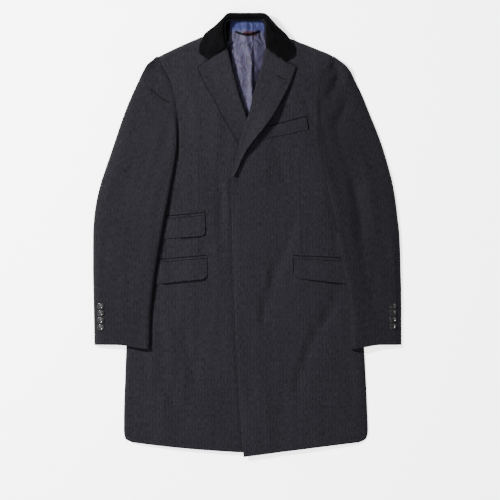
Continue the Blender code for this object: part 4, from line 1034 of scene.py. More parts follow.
@dataclass
class Sleeves(SubAssembly):
    """The two-piece sleeves: a top sleeve over an under sleeve."""

    inner_insets: tuple[float, ...] = (0.0, 1.7, 3.4, 7.0, 12.0)
    tube_insets: tuple[float, ...] = (0.0, 0.0, 2.2)
    outer_insets: tuple[float, ...] = (16.0, 8.0, 2.9, 0.0, 0.0)
    middle: int = 6
    length: float = 600.0
    cap_span: Span = Span(7.0, 52.0)
    cap_air: float = 0.5
    cap_air_up: Span = Span(370.0, 25.0)
    cuff_level: float = 0.6
    overhang_bend: int = 6
    flap_clearance: float = 3.6
    flap_above: Span = Span(55.0, 45.0)
    flap_below: Span = Span(-165.0, 45.0)
    under_over: int = 6
    under_top_row: int = 11
    under_inset: float = 3.4
    under_past_seam: float = 3.0
    under_falls: tuple[float, ...] = (0.0, 8.0, 17.0, 27.0)
    under_shares: tuple[float, ...] = (0.36, 0.7, 1.0)
    under_fall_share: float = 0.25
    under_armhole_share: float = 0.5
    under_cuff_inset: float = 1.5

    def rest(self, y: float) -> float:
        """Air between a sleeve and the front it lies on, wider where it rides over the flaps."""
        return GAP + self.flap_clearance * (1.0 - past(self.flap_above, y)) * past(self.flap_below, y)

    def seam_spot(self, side: Side, across: float) -> Spot:
        """Point of the sleeve seam, from its inner end to the shoulder point."""
        x = curve(SLEEVE_SEAM, side.word, mix(SLEEVE_SEAM[0].y, SLEEVE_SEAM[-1].y, across))
        overhang = side.of(SLEEVE_OUTER[-1]) - side.of(SLEEVE_SEAM[-1])
        return x + overhang * across ** self.overhang_bend, mix(TOP_IN, TOP_OUT, across)

    def cuff_spot(self, side: Side, across: float) -> Spot:
        """Point of the cuff's edge, from its inner corner out."""
        x = mix(side.of(SLEEVE_INNER[0]), side.of(SLEEVE_OUTER[0]), across)
        return x, mix(LOW_IN, LOW_OUT, smooth(across / self.cuff_level))

    def plan(self, side: Side, across: float, place: float) -> tuple[float, float, Spot, Spot]:
        """Plan position on a top sleeve, from its four edges.

        Args:
            side: Which sleeve.
            across: Share of its width, from the inner edge.
            place: Share of its length, from the sleeve seam.

        Returns:
            x and y, and the points of the inner and the outer edge at that place.
        """
        inner_y, outer_y = mix(TOP_IN, LOW_IN, place), mix(TOP_OUT, LOW_OUT, place)
        inner = (curve(SLEEVE_INNER, side.word, inner_y), inner_y)
        outer = (curve(SLEEVE_OUTER, side.word, outer_y), outer_y)
        seam, cuff = self.seam_spot(side, across), self.cuff_spot(side, across)
        ends = [spot_at(side, end) for spot_at in (self.seam_spot, self.cuff_spot) for end in (0.0, 1.0)]
        spot = []
        for k in (0, 1):
            corners = mix(mix(ends[0][k], ends[1][k], across), mix(ends[2][k], ends[3][k], across), place)
            spot.append(mix(seam[k], cuff[k], place) + mix(inner[k], outer[k], across) - corners)
        return spot[0], spot[1], inner, outer

    def tube_height(self, x: float, y: float, inner: Spot, reach: float, width: float, place: float) -> float:
        """Height of a top sleeve's outer side, at a reach from its inner edge."""
        start = BODY.height(*inner) + self.rest(inner[1])
        rounding = round_share(reach, self.inner_insets[-1]) * round_share(width - reach, self.outer_insets[0])
        fullness = curve(SLEEVE_FULLNESS, "height", place) - fold_depth(SLEEVE_FOLDS, x, y)
        return mix(start, 0.0, reach / width) + fullness * rounding

    def top_point(self, side: Side, column: int, row: int) -> Point:
        """Point on the outer side of a top sleeve.

        Args:
            side: Which sleeve.
            column: Column, from the inner edge out.
            row: Row, from the sleeve seam to the cuff.

        Returns:
            The point, in millimetres.
        """
        place = SLEEVE_ROWS[row]
        _, _, inner, outer = self.plan(side, 0.0, place)
        width = math.dist(inner, outer) if row else math.dist(self.seam_spot(side, 0.0), self.seam_spot(side, 1.0))
        inners = len(self.inner_insets)
        cap = past(self.cap_span, place * self.length)
        last = inners + self.middle + len(self.outer_insets) - 2
        if column < inners:
            reach = self.inner_insets[column]
            if column in (1, 2):
                reach = mix(reach, self.tube_insets[column], cap)
        elif column < inners + self.middle - 1:
            share = (column - inners + 1) / self.middle
            reach = mix(self.inner_insets[-1], width - self.outer_insets[0], share)
        else:
            reach = width - self.outer_insets[column - inners - self.middle + 1]
        x, y, _, _ = self.plan(side, reach / width, place)
        if column == last:
            return x, y, 0.0
        if column == last - 1:
            return x, y, LIP
        tube = self.tube_height(x, y, inner, reach, width, place)
        if column == 1:
            tube = BODY.height(*inner) + self.rest(inner[1]) + LIP
        lapped = BODY.height(x, y, GAP + CLOTH + self.cap_air * past(self.cap_air_up, y))
        return x, y, mix(lapped, tube, cap)

    def under_point(self, side: Side, column: int, row: int) -> Point:
        """Point on the lower side of an under sleeve, which lies on the front and then on the surface.

        Args:
            side: Which sleeve.
            column: Column, from the inner edge out.
            row: Row, from the cuff up.

        Returns:
            The point, in millimetres.
        """
        sign, y = side.value, UNDER_ROWS[row]
        over_edge = curve(SIDE_SEAM, side.word, y) + sign * self.under_past_seam
        if row > self.under_top_row:
            over_edge = curve(UNDER_EDGE, side.word, y)
        outer = curve(SLEEVE_OUTER, side.word, y) - sign * self.under_inset
        if column <= self.under_over:
            inner = curve(SLEEVE_INNER, side.word, y) + sign * self.under_inset
            x = mix(inner, over_edge, column / self.under_over)
        else:
            count = column - self.under_over
            span = abs(outer - over_edge)
            if count < len(self.under_falls):
                x = over_edge + sign * min(self.under_falls[count], self.under_fall_share * span * count)
            else:
                falls = self.under_fall_share * span * (len(self.under_falls) - 1)
                start = over_edge + sign * min(self.under_falls[-1], falls)
                x = mix(start, outer, self.under_shares[count - len(self.under_falls)])
        share_up = 1.0 - smooth(sign * (x - over_edge) / self.under_falls[-1])
        if row > self.under_top_row:
            share_up *= self.under_armhole_share if row == self.under_top_row + 1 else 0.0
        reach = min(abs(x), abs(over_edge) - self.under_past_seam) * sign
        lie = BODY.plateau(reach, y) + LAID_AIR + self.rest(y)
        if row == 0:
            start = side.of(SLEEVE_INNER[0])
            y = self.cuff_spot(side, (x - start) / (outer - start))[1] + self.under_cuff_inset
        return x, y, lie * share_up

    def over_armhole(self, column: int, row: int) -> bool:
        """Whether a cell of an under sleeve lies across the armhole and is left out."""
        return row >= self.under_top_row and column < self.under_over

    def surface(self, side: Side, x: float, y: float) -> float:
        """Height of a top sleeve's outer side at a point in plan."""
        place = (TOP_OUT - y) / (TOP_OUT - LOW_OUT)
        _, _, inner, outer = self.plan(side, 0.0, place)
        width = math.dist(inner, outer)
        reach = abs(x - inner[0]) * width / abs(outer[0] - inner[0])
        return self.tube_height(x, y, inner, reach, width, place)

    def build(self, cloth: Materials) -> None:
        """Build both sleeves.

        Args:
            cloth: The finished materials by name.
        """
        under_columns = self.under_over + len(self.under_falls) + len(self.under_shares)
        top_columns = len(self.inner_insets) + self.middle + len(self.outer_insets) - 1
        for side in Side:
            word = side.word
            points = grid(lambda i, j: self.under_point(side, i, j), under_columns, len(UNDER_ROWS))
            under = Shell(f"under_sleeve_{word}", points, CLOTH, spacing=5.0, grain=Grain.ALONG, upward=True,
                          hole=self.over_armhole)
            self.dress(under, cloth["sleeve"], "wool", ["floor", f"front_{word}"])
            points = grid(lambda i, j: self.top_point(side, i, j), top_columns, len(SLEEVE_ROWS))
            top = Shell(f"top_sleeve_{word}", points, CLOTH, spacing=2.8, grain=Grain.ALONG,
                        creases=SLEEVE_CREASES, ripple=0.5, seed=23)
            self.dress(top, cloth["sleeve"], "wool", ["floor", f"front_{word}", f"under_sleeve_{word}"])


@dataclass
class Pockets(SubAssembly):
    """The flaps with the narrow strips above them, and the breast pocket's welt."""

    flaps: tuple[Flap, ...] = (
        Flap("flap_right", Side.RIGHT, -92.6, -53.0, -244.0, -66.5, 47.0, 49.5, 11.0),
        Flap("flap_ticket", Side.RIGHT, -96.0, 45.0, -204.0, 34.8, 46.5, 44.0, 11.0),
        Flap("flap_left", Side.LEFT, 107.5, -54.3, 237.0, -61.0, 44.0, 51.5, 8.0),
    )
    flap_cloth: float = 1.8
    flap_lift: float = 1.0
    flap_rows: int = 5
    spacing: float = 2.4
    corner_shares: tuple[float, ...] = (0.0, 0.08, 0.29, 0.6, 1.0)
    flap_shares: tuple[float, ...] = (0.2, 0.4, 0.6, 0.8, 1.0)
    jet_cells: tuple[int, int] = (6, 4)
    jet_width: float = 5.5
    jet_cloth: float = 1.2
    jet_air: float = 0.6
    jet_belly: float = 0.5
    welt_cells: tuple[int, int] = (7, 3)
    welt_corners: tuple[Spot, ...] = ((46.0, 221.0), (139.7, 241.5), (136.0, 270.5), (46.0, 247.0))
    welt_cloth: float = 1.8

    def flap_point(self, flap: Flap, column: int, row: int) -> Point:
        """Point on the outer side of a flap, whose lower inner corner is round."""
        width = abs(flap.outer_x - flap.inner_x)
        if column < len(self.corner_shares):
            reach = flap.corner * self.corner_shares[column]
        else:
            reach = mix(flap.corner, width, self.flap_shares[column - len(self.corner_shares)])
        cut = flap.corner * (1.0 - round_share(reach, flap.corner))
        share = reach / width
        down = row / (self.flap_rows - 1)
        x = mix(flap.inner_x, flap.outer_x, share)
        y = mix(flap.inner_y, flap.outer_y, share) - (mix(flap.drop_in, flap.drop_out, share) - cut) * down
        return x, y, BODY.front_height(flap.side, x, y) + GAP + self.flap_cloth + self.flap_lift * down

    def jet_point(self, flap: Flap, column: int, row: int) -> Point:
        """Point on the outer side of the narrow strip above a flap."""
        share, up = column / self.jet_cells[0], row / self.jet_cells[1]
        x = mix(flap.inner_x - flap.side.value, flap.outer_x, share)
        y = mix(flap.inner_y, flap.outer_y, share) + self.jet_air + self.jet_width * up
        belly = self.jet_belly * math.sin(math.pi * up)
        return x, y, BODY.front_height(flap.side, x, y) + GAP + self.jet_cloth + belly

    def welt_point(self, column: int, row: int) -> Point:
        """Point on the outer side of the breast pocket's welt."""
        share, up = column / self.welt_cells[0], row / self.welt_cells[1]
        x, y = (mix(mix(low_in, low_out, share), mix(high_in, high_out, share), up)
                for low_in, low_out, high_out, high_in in zip(*self.welt_corners))
        return x, y, BODY.front_height(Side.LEFT, x, y) + GAP + SEAM + self.welt_cloth

    def build(self, cloth: Materials) -> None:
        """Build the pockets' pieces.

        Args:
            cloth: The finished materials by name.
        """
        laid = {"spacing": self.spacing, "creases": BODY_CREASES, "ripple": 0.42, "rim": 0.6}
        columns = len(self.corner_shares) + len(self.flap_shares)
        for flap in self.flaps:
            points = grid(lambda i, j: self.jet_point(flap, i, j), self.jet_cells[0] + 1, self.jet_cells[1] + 1)
            jet = self.lay(Shell(flap.name.replace("flap", "jet"), points, self.jet_cloth, **laid), cloth["flap"],
                           "wool")
            points = grid(lambda i, j: self.flap_point(flap, i, j), columns, self.flap_rows)
            self.dress(Shell(flap.name, points, self.flap_cloth, **laid), cloth["flap"], "wool",
                       [f"front_{flap.side.word}"], [jet])
        points = grid(self.welt_point, self.welt_cells[0] + 1, self.welt_cells[1] + 1)
        self.dress(Shell("chest_welt", points, self.welt_cloth, **laid), cloth["flap"], "wool", ["front_left"])


LINING_SIDE = table(
    Edge, (236, -20, 26), (300, -46, 44), (360, -64, 60), (430, -68, 45.5), (446, -43, 41.5),
    (456, -40.5, 39.8), (482, -39, 39.8), (493.4, -35.5, 33),
)
LINING_ROWS = (236.0, 262.0, 288.0, 314.0, 340.0, 366.0, 392.0, 416.0, 436.0, 447.0, 457.0, 470.0, 482.0,
               493.4)
LINING_LOOSE = table(
    Edge, (236, 2, 1), (270, 17, 8), (300, 24, 12), (353, 22, 12), (400, 14, 8), (440, 11, 8), (468, 11, 8),
    (482, 5, 4), (493.4, 0, 0),
)
PLEAT = table(
    Edge, (236, 11, 11), (390, 11, 11), (458, -3, -3), (491.8, -3, -3),
)


@dataclass
class NeckLining(SubAssembly):
    """The lining in the open neck, with the hanger loop and its plain tab."""

    cells: int = 80
    pleat_rise: float = 3.4
    pleat_widths: Spot = (9.0, 5.0)
    slack_rise: float = 1.6
    slack_away: float = 27.0
    slack_width: float = 9.0
    slack_up: Span = Span(430.0, 40.0)
    loose_within: tuple[Span, Span] = (Span(44.0, 10.0), Span(40.0, 24.0))
    fold: Span = Span(11.0, 5.0)
    loop_ends: tuple[Spot, Spot] = ((-28.0, 467.0), (28.0, 468.5))
    loop_cells: tuple[int, int] = (20, 4)
    loop_sag: float = 7.5
    loop_width: float = 5.0
    loop_cloth: float = 1.4
    loop_sewn: float = 0.22
    loop_rise: float = 2.3
    loop_belly: float = 0.35
    tab: tuple[Spot, Spot] = ((-9.5, 457.0), (18.0, 467.4))
    tab_cells: tuple[int, int] = (8, 4)
    tab_cloth: float = 0.7

    def height(self, x: float, y: float) -> float:
        """Height of the lining's upper side: a soft pleat down its middle, and slack towards the sides."""
        away = x - curve(PLEAT, "left", y)
        ridge = self.pleat_rise * math.exp(-(away / self.pleat_widths[away > 0.0]) ** 2)
        slack = self.slack_rise * math.exp(-((abs(away) - self.slack_away) / self.slack_width) ** 2)
        within = self.loose_within[x > 0.0]
        inside = smooth((within.start - abs(x)) / within.length)
        share = smooth((x - self.fold.start) / self.fold.length)
        loose = inside * mix(curve(LINING_LOOSE, "right", y), curve(LINING_LOOSE, "left", y), share)
        return CLOTH + SEAM + LAID_AIR + SATIN + ridge + loose + slack * (1.0 - past(self.slack_up, y))

    def lining_point(self, column: int, row: int) -> Point:
        """Point on the lining's upper side."""
        y = LINING_ROWS[row]
        share = column / self.cells
        x = mix(curve(LINING_SIDE, "right", y), curve(LINING_SIDE, "left", y), share)
        return x, y, self.height(x, y)

    def loop_point(self, column: int, row: int) -> Point:
        """Point on the upper side of the hanger loop, a strap sewn down at its ends."""
        share, up = column / self.loop_cells[0], row / self.loop_cells[1]
        x, y = (mix(start, end, share) for start, end in zip(*self.loop_ends))
        y -= self.loop_sag * math.sin(math.pi * share)
        rise = SEAM + self.loop_cloth + self.loop_rise * smooth(min(share, 1.0 - share) / self.loop_sewn)
        rise += self.loop_belly * math.sin(math.pi * up)
        return x, y + self.loop_width * (up - 0.5), self.height(x, y) + rise

    def tab_point(self, column: int, row: int) -> Point:
        """Point on the upper side of the plain tab under the hanger loop."""
        x = mix(self.tab[0][0], self.tab[1][0], column / self.tab_cells[0])
        y = mix(self.tab[0][1], self.tab[1][1], row / self.tab_cells[1])
        return x, y, self.height(x, y) + GAP + self.tab_cloth

    def build(self, cloth: Materials) -> Shell:
        """Build the lining, the loop and the tab.

        Args:
            cloth: The finished materials by name.

        Returns:
            The hanger loop, for its stitches.
        """
        lining = Shell("lining", grid(self.lining_point, self.cells + 1, len(LINING_ROWS)), SATIN, spacing=2.0,
                       creases=LINING_CREASES, ripple=0.25, seed=5)
        tab = Shell("hanger_tab", grid(self.tab_point, self.tab_cells[0] + 1, self.tab_cells[1] + 1),
                    self.tab_cloth, spacing=1.5, rim=0.2)
        loop = Shell("hanger_loop", grid(self.loop_point, self.loop_cells[0] + 1, self.loop_cells[1] + 1),
                     self.loop_cloth, spacing=1.0, grain=Grain.ALONG, rim=0.3)
        trims = [self.lay(tab, cloth["woven_tab"], "woven_tab"), self.lay(loop, cloth["tape"], "tape")]
        self.dress(lining, cloth["satin"], "satin", ["back_right", "back_left"], trims)
        return loop


class Value:
    """A shader socket that takes part in Python arithmetic."""

    def __init__(self, graph: "Graph", socket: bpy.types.NodeSocket) -> None:
        """Wrap a socket of a graph."""
        self.graph = graph
        self.socket = socket

    def _do(self, operation: str, *values: Any) -> "Value":
        """Add a Math node for an operation on values."""
        return self.graph.node("ShaderNodeMath", {"operation": operation}, dict(enumerate(values)))

    def __add__(self, other: Any) -> "Value":
        """Sum."""
        return self._do("ADD", self, other)

    def __sub__(self, other: Any) -> "Value":
        """Difference."""
        return self._do("SUBTRACT", self, other)

    def __rsub__(self, other: Any) -> "Value":
        """Difference from a plain number."""
        return self._do("SUBTRACT", other, self)

    def __mul__(self, other: Any) -> "Value":
        """Product."""
        return self._do("MULTIPLY", self, other)

    def __truediv__(self, other: Any) -> "Value":
        """Quotient."""
        return self._do("DIVIDE", self, other)

    def __pow__(self, other: Any) -> "Value":
        """Power."""
        return self._do("POWER", self, other)

    __radd__ = __add__
    __rmul__ = __mul__

    def absolute(self) -> "Value":
        """Size without sign."""
        return self._do("ABSOLUTE", self)

    def waves(self, pitch: float) -> "Value":
        """Waves between 0 and 1, a pitch apart."""
        return self._do("SINE", self * (math.tau / pitch)) * 0.5 + 0.5

    def zigzag(self, width: float) -> "Value":
        """Triangle wave between 0 and a width."""
        return self._do("PINGPONG", self, width)

    def held(self) -> "Value":
        """Value held between 0 and 1."""
        return self.graph.node("ShaderNodeClamp", {}, {"Value": self})

    def ramp(self, low: float, high: float) -> "Value":
        """Soft step from 0 at low to 1 at high."""
        return self.graph.node("ShaderNodeMapRange", {"interpolation_type": "SMOOTHSTEP"},
                               {"Value": self, "From Min": low, "From Max": high})


class Noise(NamedTuple):
    """A noise: how fine it is across and along the cloth, its detail and roughness, and its own level."""

    across: float
    along: float
    detail: float
    roughness: float
    level: float = 0.0


def swing(middle: float, *parts: tuple[Value, float]) -> Value:
    """Share that swings about a middle with values between 0 and 1, each by its weight."""
    share: Any = middle
    for value, weight in parts:
        share = (value - 0.5) * weight + share
    return share.held()


def opaque(red: float, green: float, blue: float) -> tuple[float, float, float, float]:
    """A colour with full cover."""
    return (red, green, blue, 1.0)


def toned(color: Sequence[float], tone: float) -> tuple[float, float, float, float]:
    """A colour made lighter or darker."""
    return opaque(*(part * tone for part in color[:3]))


class Graph:
    """A material's node tree, built by expressions."""

    def __init__(self, name: str) -> None:
        """Start a material with one Principled shader.

        Args:
            name: The material's name.
        """
        self.material = bpy.data.materials.new(name)
        self.material.use_nodes = True
        self.tree = self.material.node_tree
        self.shader = self.tree.nodes["Principled BSDF"]

    def node(self, kind: str, settings: dict[str, Any], sockets: dict[Any, Any], output: Any = 0) -> Value:
        """Add a node: its settings first, and then the values or links of its sockets.

        Args:
            kind: The node's type.
            settings: Properties of the node, which are set first.
            sockets: Values or links by socket name or number.
            output: Name or number of the output.

        Returns:
            The output, wrapped.
        """
        made = self.tree.nodes.new(kind)
        for name, value in settings.items():
            setattr(made, name, value)
        self.feed(made, sockets)
        return Value(self, made.outputs[output])

    def feed(self, node: bpy.types.Node, sockets: dict[Any, Any]) -> None:
        """Set or link a node's sockets, by name or number."""
        for name, value in sockets.items():
            if isinstance(value, Value):
                self.tree.links.new(value.socket, node.inputs[name])
            else:
                node.inputs[name].default_value = value

    def cloth_uv(self) -> tuple[Value, Value]:
        """The piece's own places on the cloth, in metres."""
        uv = self.node("ShaderNodeUVMap", {"uv_map": UV_NAME}, {})
        return self.part(uv, "X"), self.part(uv, "Y")

    def plan(self) -> tuple[Value, Value]:
        """Places across and up the coat, in metres."""
        place = self.node("ShaderNodeTexCoord", {}, {}, "Object")
        return self.part(place, "X"), self.part(place, "Y")

    def part(self, vector: Value, axis: str) -> Value:
        """One part of a vector."""
        return self.node("ShaderNodeSeparateXYZ", {}, {0: vector}, axis)

    def noise(self, x: Value, y: Value, kind: Noise) -> Value:
        """Noise over places in metres, between 0 and 1."""
        place = self.node("ShaderNodeCombineXYZ", {}, {0: x * kind.across, 1: y * kind.along, 2: kind.level})
        return self.node("ShaderNodeTexNoise", {"noise_dimensions": "3D"},
                         {"Vector": place, "Scale": 1.0, "Detail": kind.detail, "Roughness": kind.roughness})

    def blend(self, share: Any, low: Any, high: Any) -> Value:
        """Colour between two others."""
        return self.node("ShaderNodeMix", {"data_type": "RGBA"}, {0: share, 6: low, 7: high}, 2)

    def path_distance(self, paths: Sequence[Sequence[Spot]]) -> Value:
        """Distance in plan, in metres, to the nearest of some paths with straight legs.

        Args:
            paths: Corners of the paths, in millimetres.

        Returns:
            The distance.
        """
        x, y = self.plan()
        nearest = None
        for start, end in (leg for path in paths for leg in zip(path, path[1:])):
            x0, y0, x1, y1 = (part * MM for part in (*start, *end))
            along_x, along_y = x1 - x0, y1 - y0
            length = math.hypot(along_x, along_y)
            share = (((x - x0) * along_x + (y - y0) * along_y) / length ** 2).held()
            off_x = x - x0 - share * along_x
            off_y = y - y0 - share * along_y
            away = (off_x * off_x + off_y * off_y) ** 0.5
            nearest = away if nearest is None else nearest._do("MINIMUM", nearest, away)
        return nearest

    def finish(self, color: Any, roughness: Any, height: Value, depth: float, strength: float,
               **constants: Any) -> bpy.types.Material:
        """Connect the shader.

        Args:
            color: Base colour.
            roughness: Roughness.
            height: Height of the surface's relief, from 0 to 1.
            depth: What a height of 1 measures, in metres.
            strength: Strength of the relief.
            constants: Values of the shader's other sockets, by name with _ for a space.

        Returns:
            The material.
        """
        bump = self.node("ShaderNodeBump", {}, {"Strength": strength, "Distance": depth, "Height": height})
        sockets = {name.replace("_", " "): value for name, value in constants.items()}
        self.feed(self.shader, {"Base Color": color, "Roughness": roughness, "Normal": bump, **sockets})
        return self.material


class Line(NamedTuple):
    """Dark lines drawn in a cloth's finish, as sewn seams and as painted shade: half a width in metres, a darkness,
    and paths in millimetres.
    """

    reach: float
    darkness: float
    paths: tuple[tuple[Spot, ...], ...]


@dataclass(frozen=True)
class WoolFinish:
    """Fine dark coating: a herringbone weave with vertical streaks, and dark lines: sewn seams, and painted shade
    along edges, pocket mouths and creases.
    """

    name: str
    dark: tuple[float, ...] = opaque(0.0033, 0.0032, 0.0043)
    light: tuple[float, ...] = opaque(0.0121, 0.0117, 0.0146)
    # Colour of the dark lines: sewn seams, and painted shade.
    hollow: tuple[float, ...] = opaque(0.0006, 0.0006, 0.0008)
    rib: float = 0.00375
    pitch: float = 0.0021
    slant: float = 1.6
    streak: Noise = Noise(370.0, 100.0, 3.0, 0.6)
    grain: Noise = Noise(620.0, 320.0, 2.0, 0.6, 7.0)
    patch: Noise = Noise(55.0, 6.0, 2.0, 0.5, 4.0)
    fibre: Noise = Noise(1500.0, 900.0, 2.0, 0.7, 2.0)
    line_core: float = 0.25
    tone: float = 1.0
    lines: tuple[Line, ...] = ()

    def build(self) -> bpy.types.Material:
        """Make the material."""
        graph = Graph(self.name)
        u, v = graph.cloth_uv()
        ribs = u.zigzag(self.rib)
        twill = (v + ribs * self.slant).waves(self.pitch)
        streak, grain, patch, fibre = (graph.noise(u, v, kind)
                                       for kind in (self.streak, self.grain, self.patch, self.fibre))
        side = (ribs / self.rib).ramp(0.40, 0.60)
        share = swing(0.5, (streak, 1.9), (grain, 2.0), (twill, 0.16), (fibre, 0.5), (patch, 0.5), (side, 0.12))
        color = graph.blend(share, toned(self.dark, self.tone), toned(self.light, self.tone))
        relief = twill * 0.35 + fibre * 0.45 + streak * 0.2
        # Each line darkens the colour and presses a groove; besides the sewn seams, most lines are painted shade.
        for line in self.lines:
            away = graph.path_distance(line.paths)
            seam_and_shade = (1.0 - away.ramp(self.line_core * line.reach, line.reach)) * line.darkness
            color = graph.blend(seam_and_shade, color, self.hollow)
            relief = relief - seam_and_shade
        return graph.finish(color, fibre * 0.14 + 0.8, relief, 0.0006, 0.6, Sheen_Weight=0.012,
                            Sheen_Roughness=0.5, Sheen_Tint=opaque(0.62, 0.62, 0.68), Specular_IOR_Level=0.03)


@dataclass(frozen=True)
class VelvetFinish:
    """Black cotton velvet: a short pile that catches the light at its turned edges."""

    name: str = "velvet_pile"
    dark: tuple[float, ...] = opaque(0.0002, 0.0002, 0.0003)
    light: tuple[float, ...] = opaque(0.0024, 0.0024, 0.0028)
    nap: Noise = Noise(55.0, 38.0, 3.0, 0.6)
    pile: Noise = Noise(1900.0, 1900.0, 1.0, 0.6, 3.0)

    def build(self) -> bpy.types.Material:
        """Make the material."""
        graph = Graph(self.name)
        u, v = graph.cloth_uv()
        nap, pile = graph.noise(u, v, self.nap), graph.noise(u, v, self.pile)
        color = graph.blend(swing(0.5, (nap, 1.6), (pile, 0.9)), self.dark, self.light)
        return graph.finish(color, nap * 0.15 + 0.8, pile * 0.7 + nap * 0.3, 0.0005, 0.5, Sheen_Weight=0.13,
                            Sheen_Roughness=0.26, Sheen_Tint=opaque(0.42, 0.42, 0.45), Specular_IOR_Level=0.02)


@dataclass(frozen=True)
class SatinFinish:
    """Lavender-blue lining satin with a sparse, faint, plain lozenge figure, a bluer yoke, and painted light and
    shade along soft folds.
    """

    name: str = "lining_satin"
    dark: tuple[float, ...] = opaque(0.0105, 0.0096, 0.0205)
    light: tuple[float, ...] = opaque(0.030, 0.0285, 0.056)
    figure: tuple[float, ...] = opaque(0.040, 0.013, 0.022)
    yoke: tuple[float, ...] = opaque(0.014, 0.021, 0.080)
    yoke_up: Spot = (0.462, 0.474)
    half_pitch: float = 0.0085
    lozenge_length: float = 0.72
    ring_at: float = 0.52
    thread: Noise = Noise(900.0, 60.0, 2.0, 0.6)
    bend: Noise = Noise(60.0, 40.0, 2.0, 0.5, 9.0)
    folds: Noise = Noise(95.0, 34.0, 2.0, 0.55, 6.0)
    fold_bend: Spot = (2.2 / 95.0, 1.4 / 34.0)
    fold_sharpness: float = 5.0

    def build(self) -> bpy.types.Material:
        """Make the material."""
        graph = Graph(self.name)
        u, v = graph.cloth_uv()
        thread, bend = graph.noise(u, v, self.thread), graph.noise(u, v, self.bend)
        folds = graph.noise(u + bend * self.fold_bend[0], v + bend * self.fold_bend[1], self.folds)
        # Painted light and shade: thin fold lines are painted lighter in the colour, and the same pattern raises
        # the relief.
        shade = (1.0 - (folds - 0.5).absolute() * self.fold_sharpness).ramp(0.0, 1.0)
        across, along = u.zigzag(self.half_pitch), (v * self.lozenge_length).zigzag(self.half_pitch)
        lozenge = ((across + along) / self.half_pitch - 1.0).absolute()
        ring = 1.0 - (lozenge - self.ring_at).absolute().ramp(0.02, 0.14)
        heart = lozenge.ramp(0.80, 0.90)
        color = graph.blend(swing(0.42, (thread, 0.3), (shade, 0.6)), self.dark, self.light)
        color = graph.blend((ring * 0.28 + heart * 0.5).held(), color, self.figure)
        color = graph.blend(graph.plan()[1].ramp(*self.yoke_up) * 0.6, color, self.yoke)
        return graph.finish(color, thread * 0.1 + 0.5 + heart * 0.1, shade + thread * 0.06, 0.0009, 0.8,
                            Sheen_Weight=0.02, Specular_IOR_Level=0.12)


@dataclass(frozen=True)
class TapeFinish:
    """Woven tape: fine ribs across a plain colour."""

    name: str
    dark: tuple[float, ...]
    light: tuple[float, ...]
    rib: float = 0.0009
    threads: Noise = Noise(1400.0, 500.0, 2.0, 0.6)

    def build(self) -> bpy.types.Material:
        """Make the material."""
        graph = Graph(self.name)
        u, v = graph.cloth_uv()
        ribs, threads = v.waves(self.rib), graph.noise(u, v, self.threads)
        color = graph.blend(swing(0.5, (ribs, 0.35), (threads, 0.65)), self.dark, self.light)
        return graph.finish(color, threads * 0.15 + 0.6, ribs * 0.6 + threads * 0.4, 0.0003, 0.5,
                            Specular_IOR_Level=0.04)


@dataclass(frozen=True)
class HornFinish:
    """Polished dark horn with faint brown grain."""

    name: str = "button_horn"
    dark: tuple[float, ...] = opaque(0.004, 0.004, 0.0045)
    light: tuple[float, ...] = opaque(0.020, 0.018, 0.018)
    grain: Noise = Noise(90.0, 420.0, 3.0, 0.6)
    grain_slant: float = 4.0 / 9.0
    scuff: Noise = Noise(1500.0, 1500.0, 2.0, 0.6, 1.0)

    def build(self) -> bpy.types.Material:
        """Make the material."""
        graph = Graph(self.name)
        x, y = graph.plan()
        grain, scuff = graph.noise(x + y * self.grain_slant, y, self.grain), graph.noise(x, y, self.scuff)
        color = graph.blend(grain.ramp(0.42, 0.75), self.dark, self.light)
        return graph.finish(color, scuff * 0.06 + 0.07, scuff, 0.00006, 0.3, Specular_IOR_Level=0.3)


@dataclass(frozen=True)
class ThreadFinish:
    """Dark polyester sewing thread, with its twist."""

    name: str
    color: tuple[float, ...] = opaque(0.0024, 0.0024, 0.003)
    shine: float = 1.9
    twist: float = 0.0008

    def build(self) -> bpy.types.Material:
        """Make the material."""
        graph = Graph(self.name)
        x, y = graph.plan()
        turns = (x + y).waves(self.twist)
        color = graph.blend(turns, self.color, toned(self.color, self.shine))
        return graph.finish(color, turns * 0.1 + 0.6, turns, 0.0002, 0.4, Specular_IOR_Level=0.1)


def ring(radius: float, count: int) -> list[Spot]:
    """Points round a circle."""
    angles = (math.tau * k / count for k in range(count))
    return [(radius * math.cos(angle), radius * math.sin(angle)) for angle in angles]


def skin(shape: bmesh.types.BMesh, rings: Sequence[Sequence[Point]], material: int, capped: bool = False) -> None:
    """Join rings of points by faces; a ring may be a single point.

    Args:
        shape: What the faces are added to.
        rings: Points of the rings, in millimetres.
        material: Number of the faces' material.
        capped: Whether the first and the last ring are closed by a face.
    """
    made = [[shape.verts.new([part * MM for part in point]) for point in points] for points in rings]
    for low, high in zip(made, made[1:]):
        for k in range(max(len(low), len(high))):
            corners = [low[k % len(low)], high[k % len(high)], high[(k + 1) % len(high)], low[(k + 1) % len(low)]]
            shape.faces.new(list(dict.fromkeys(corners))).material_index = material
    for points in (made[0], made[-1]) if capped else ():
        shape.faces.new(points).material_index = material


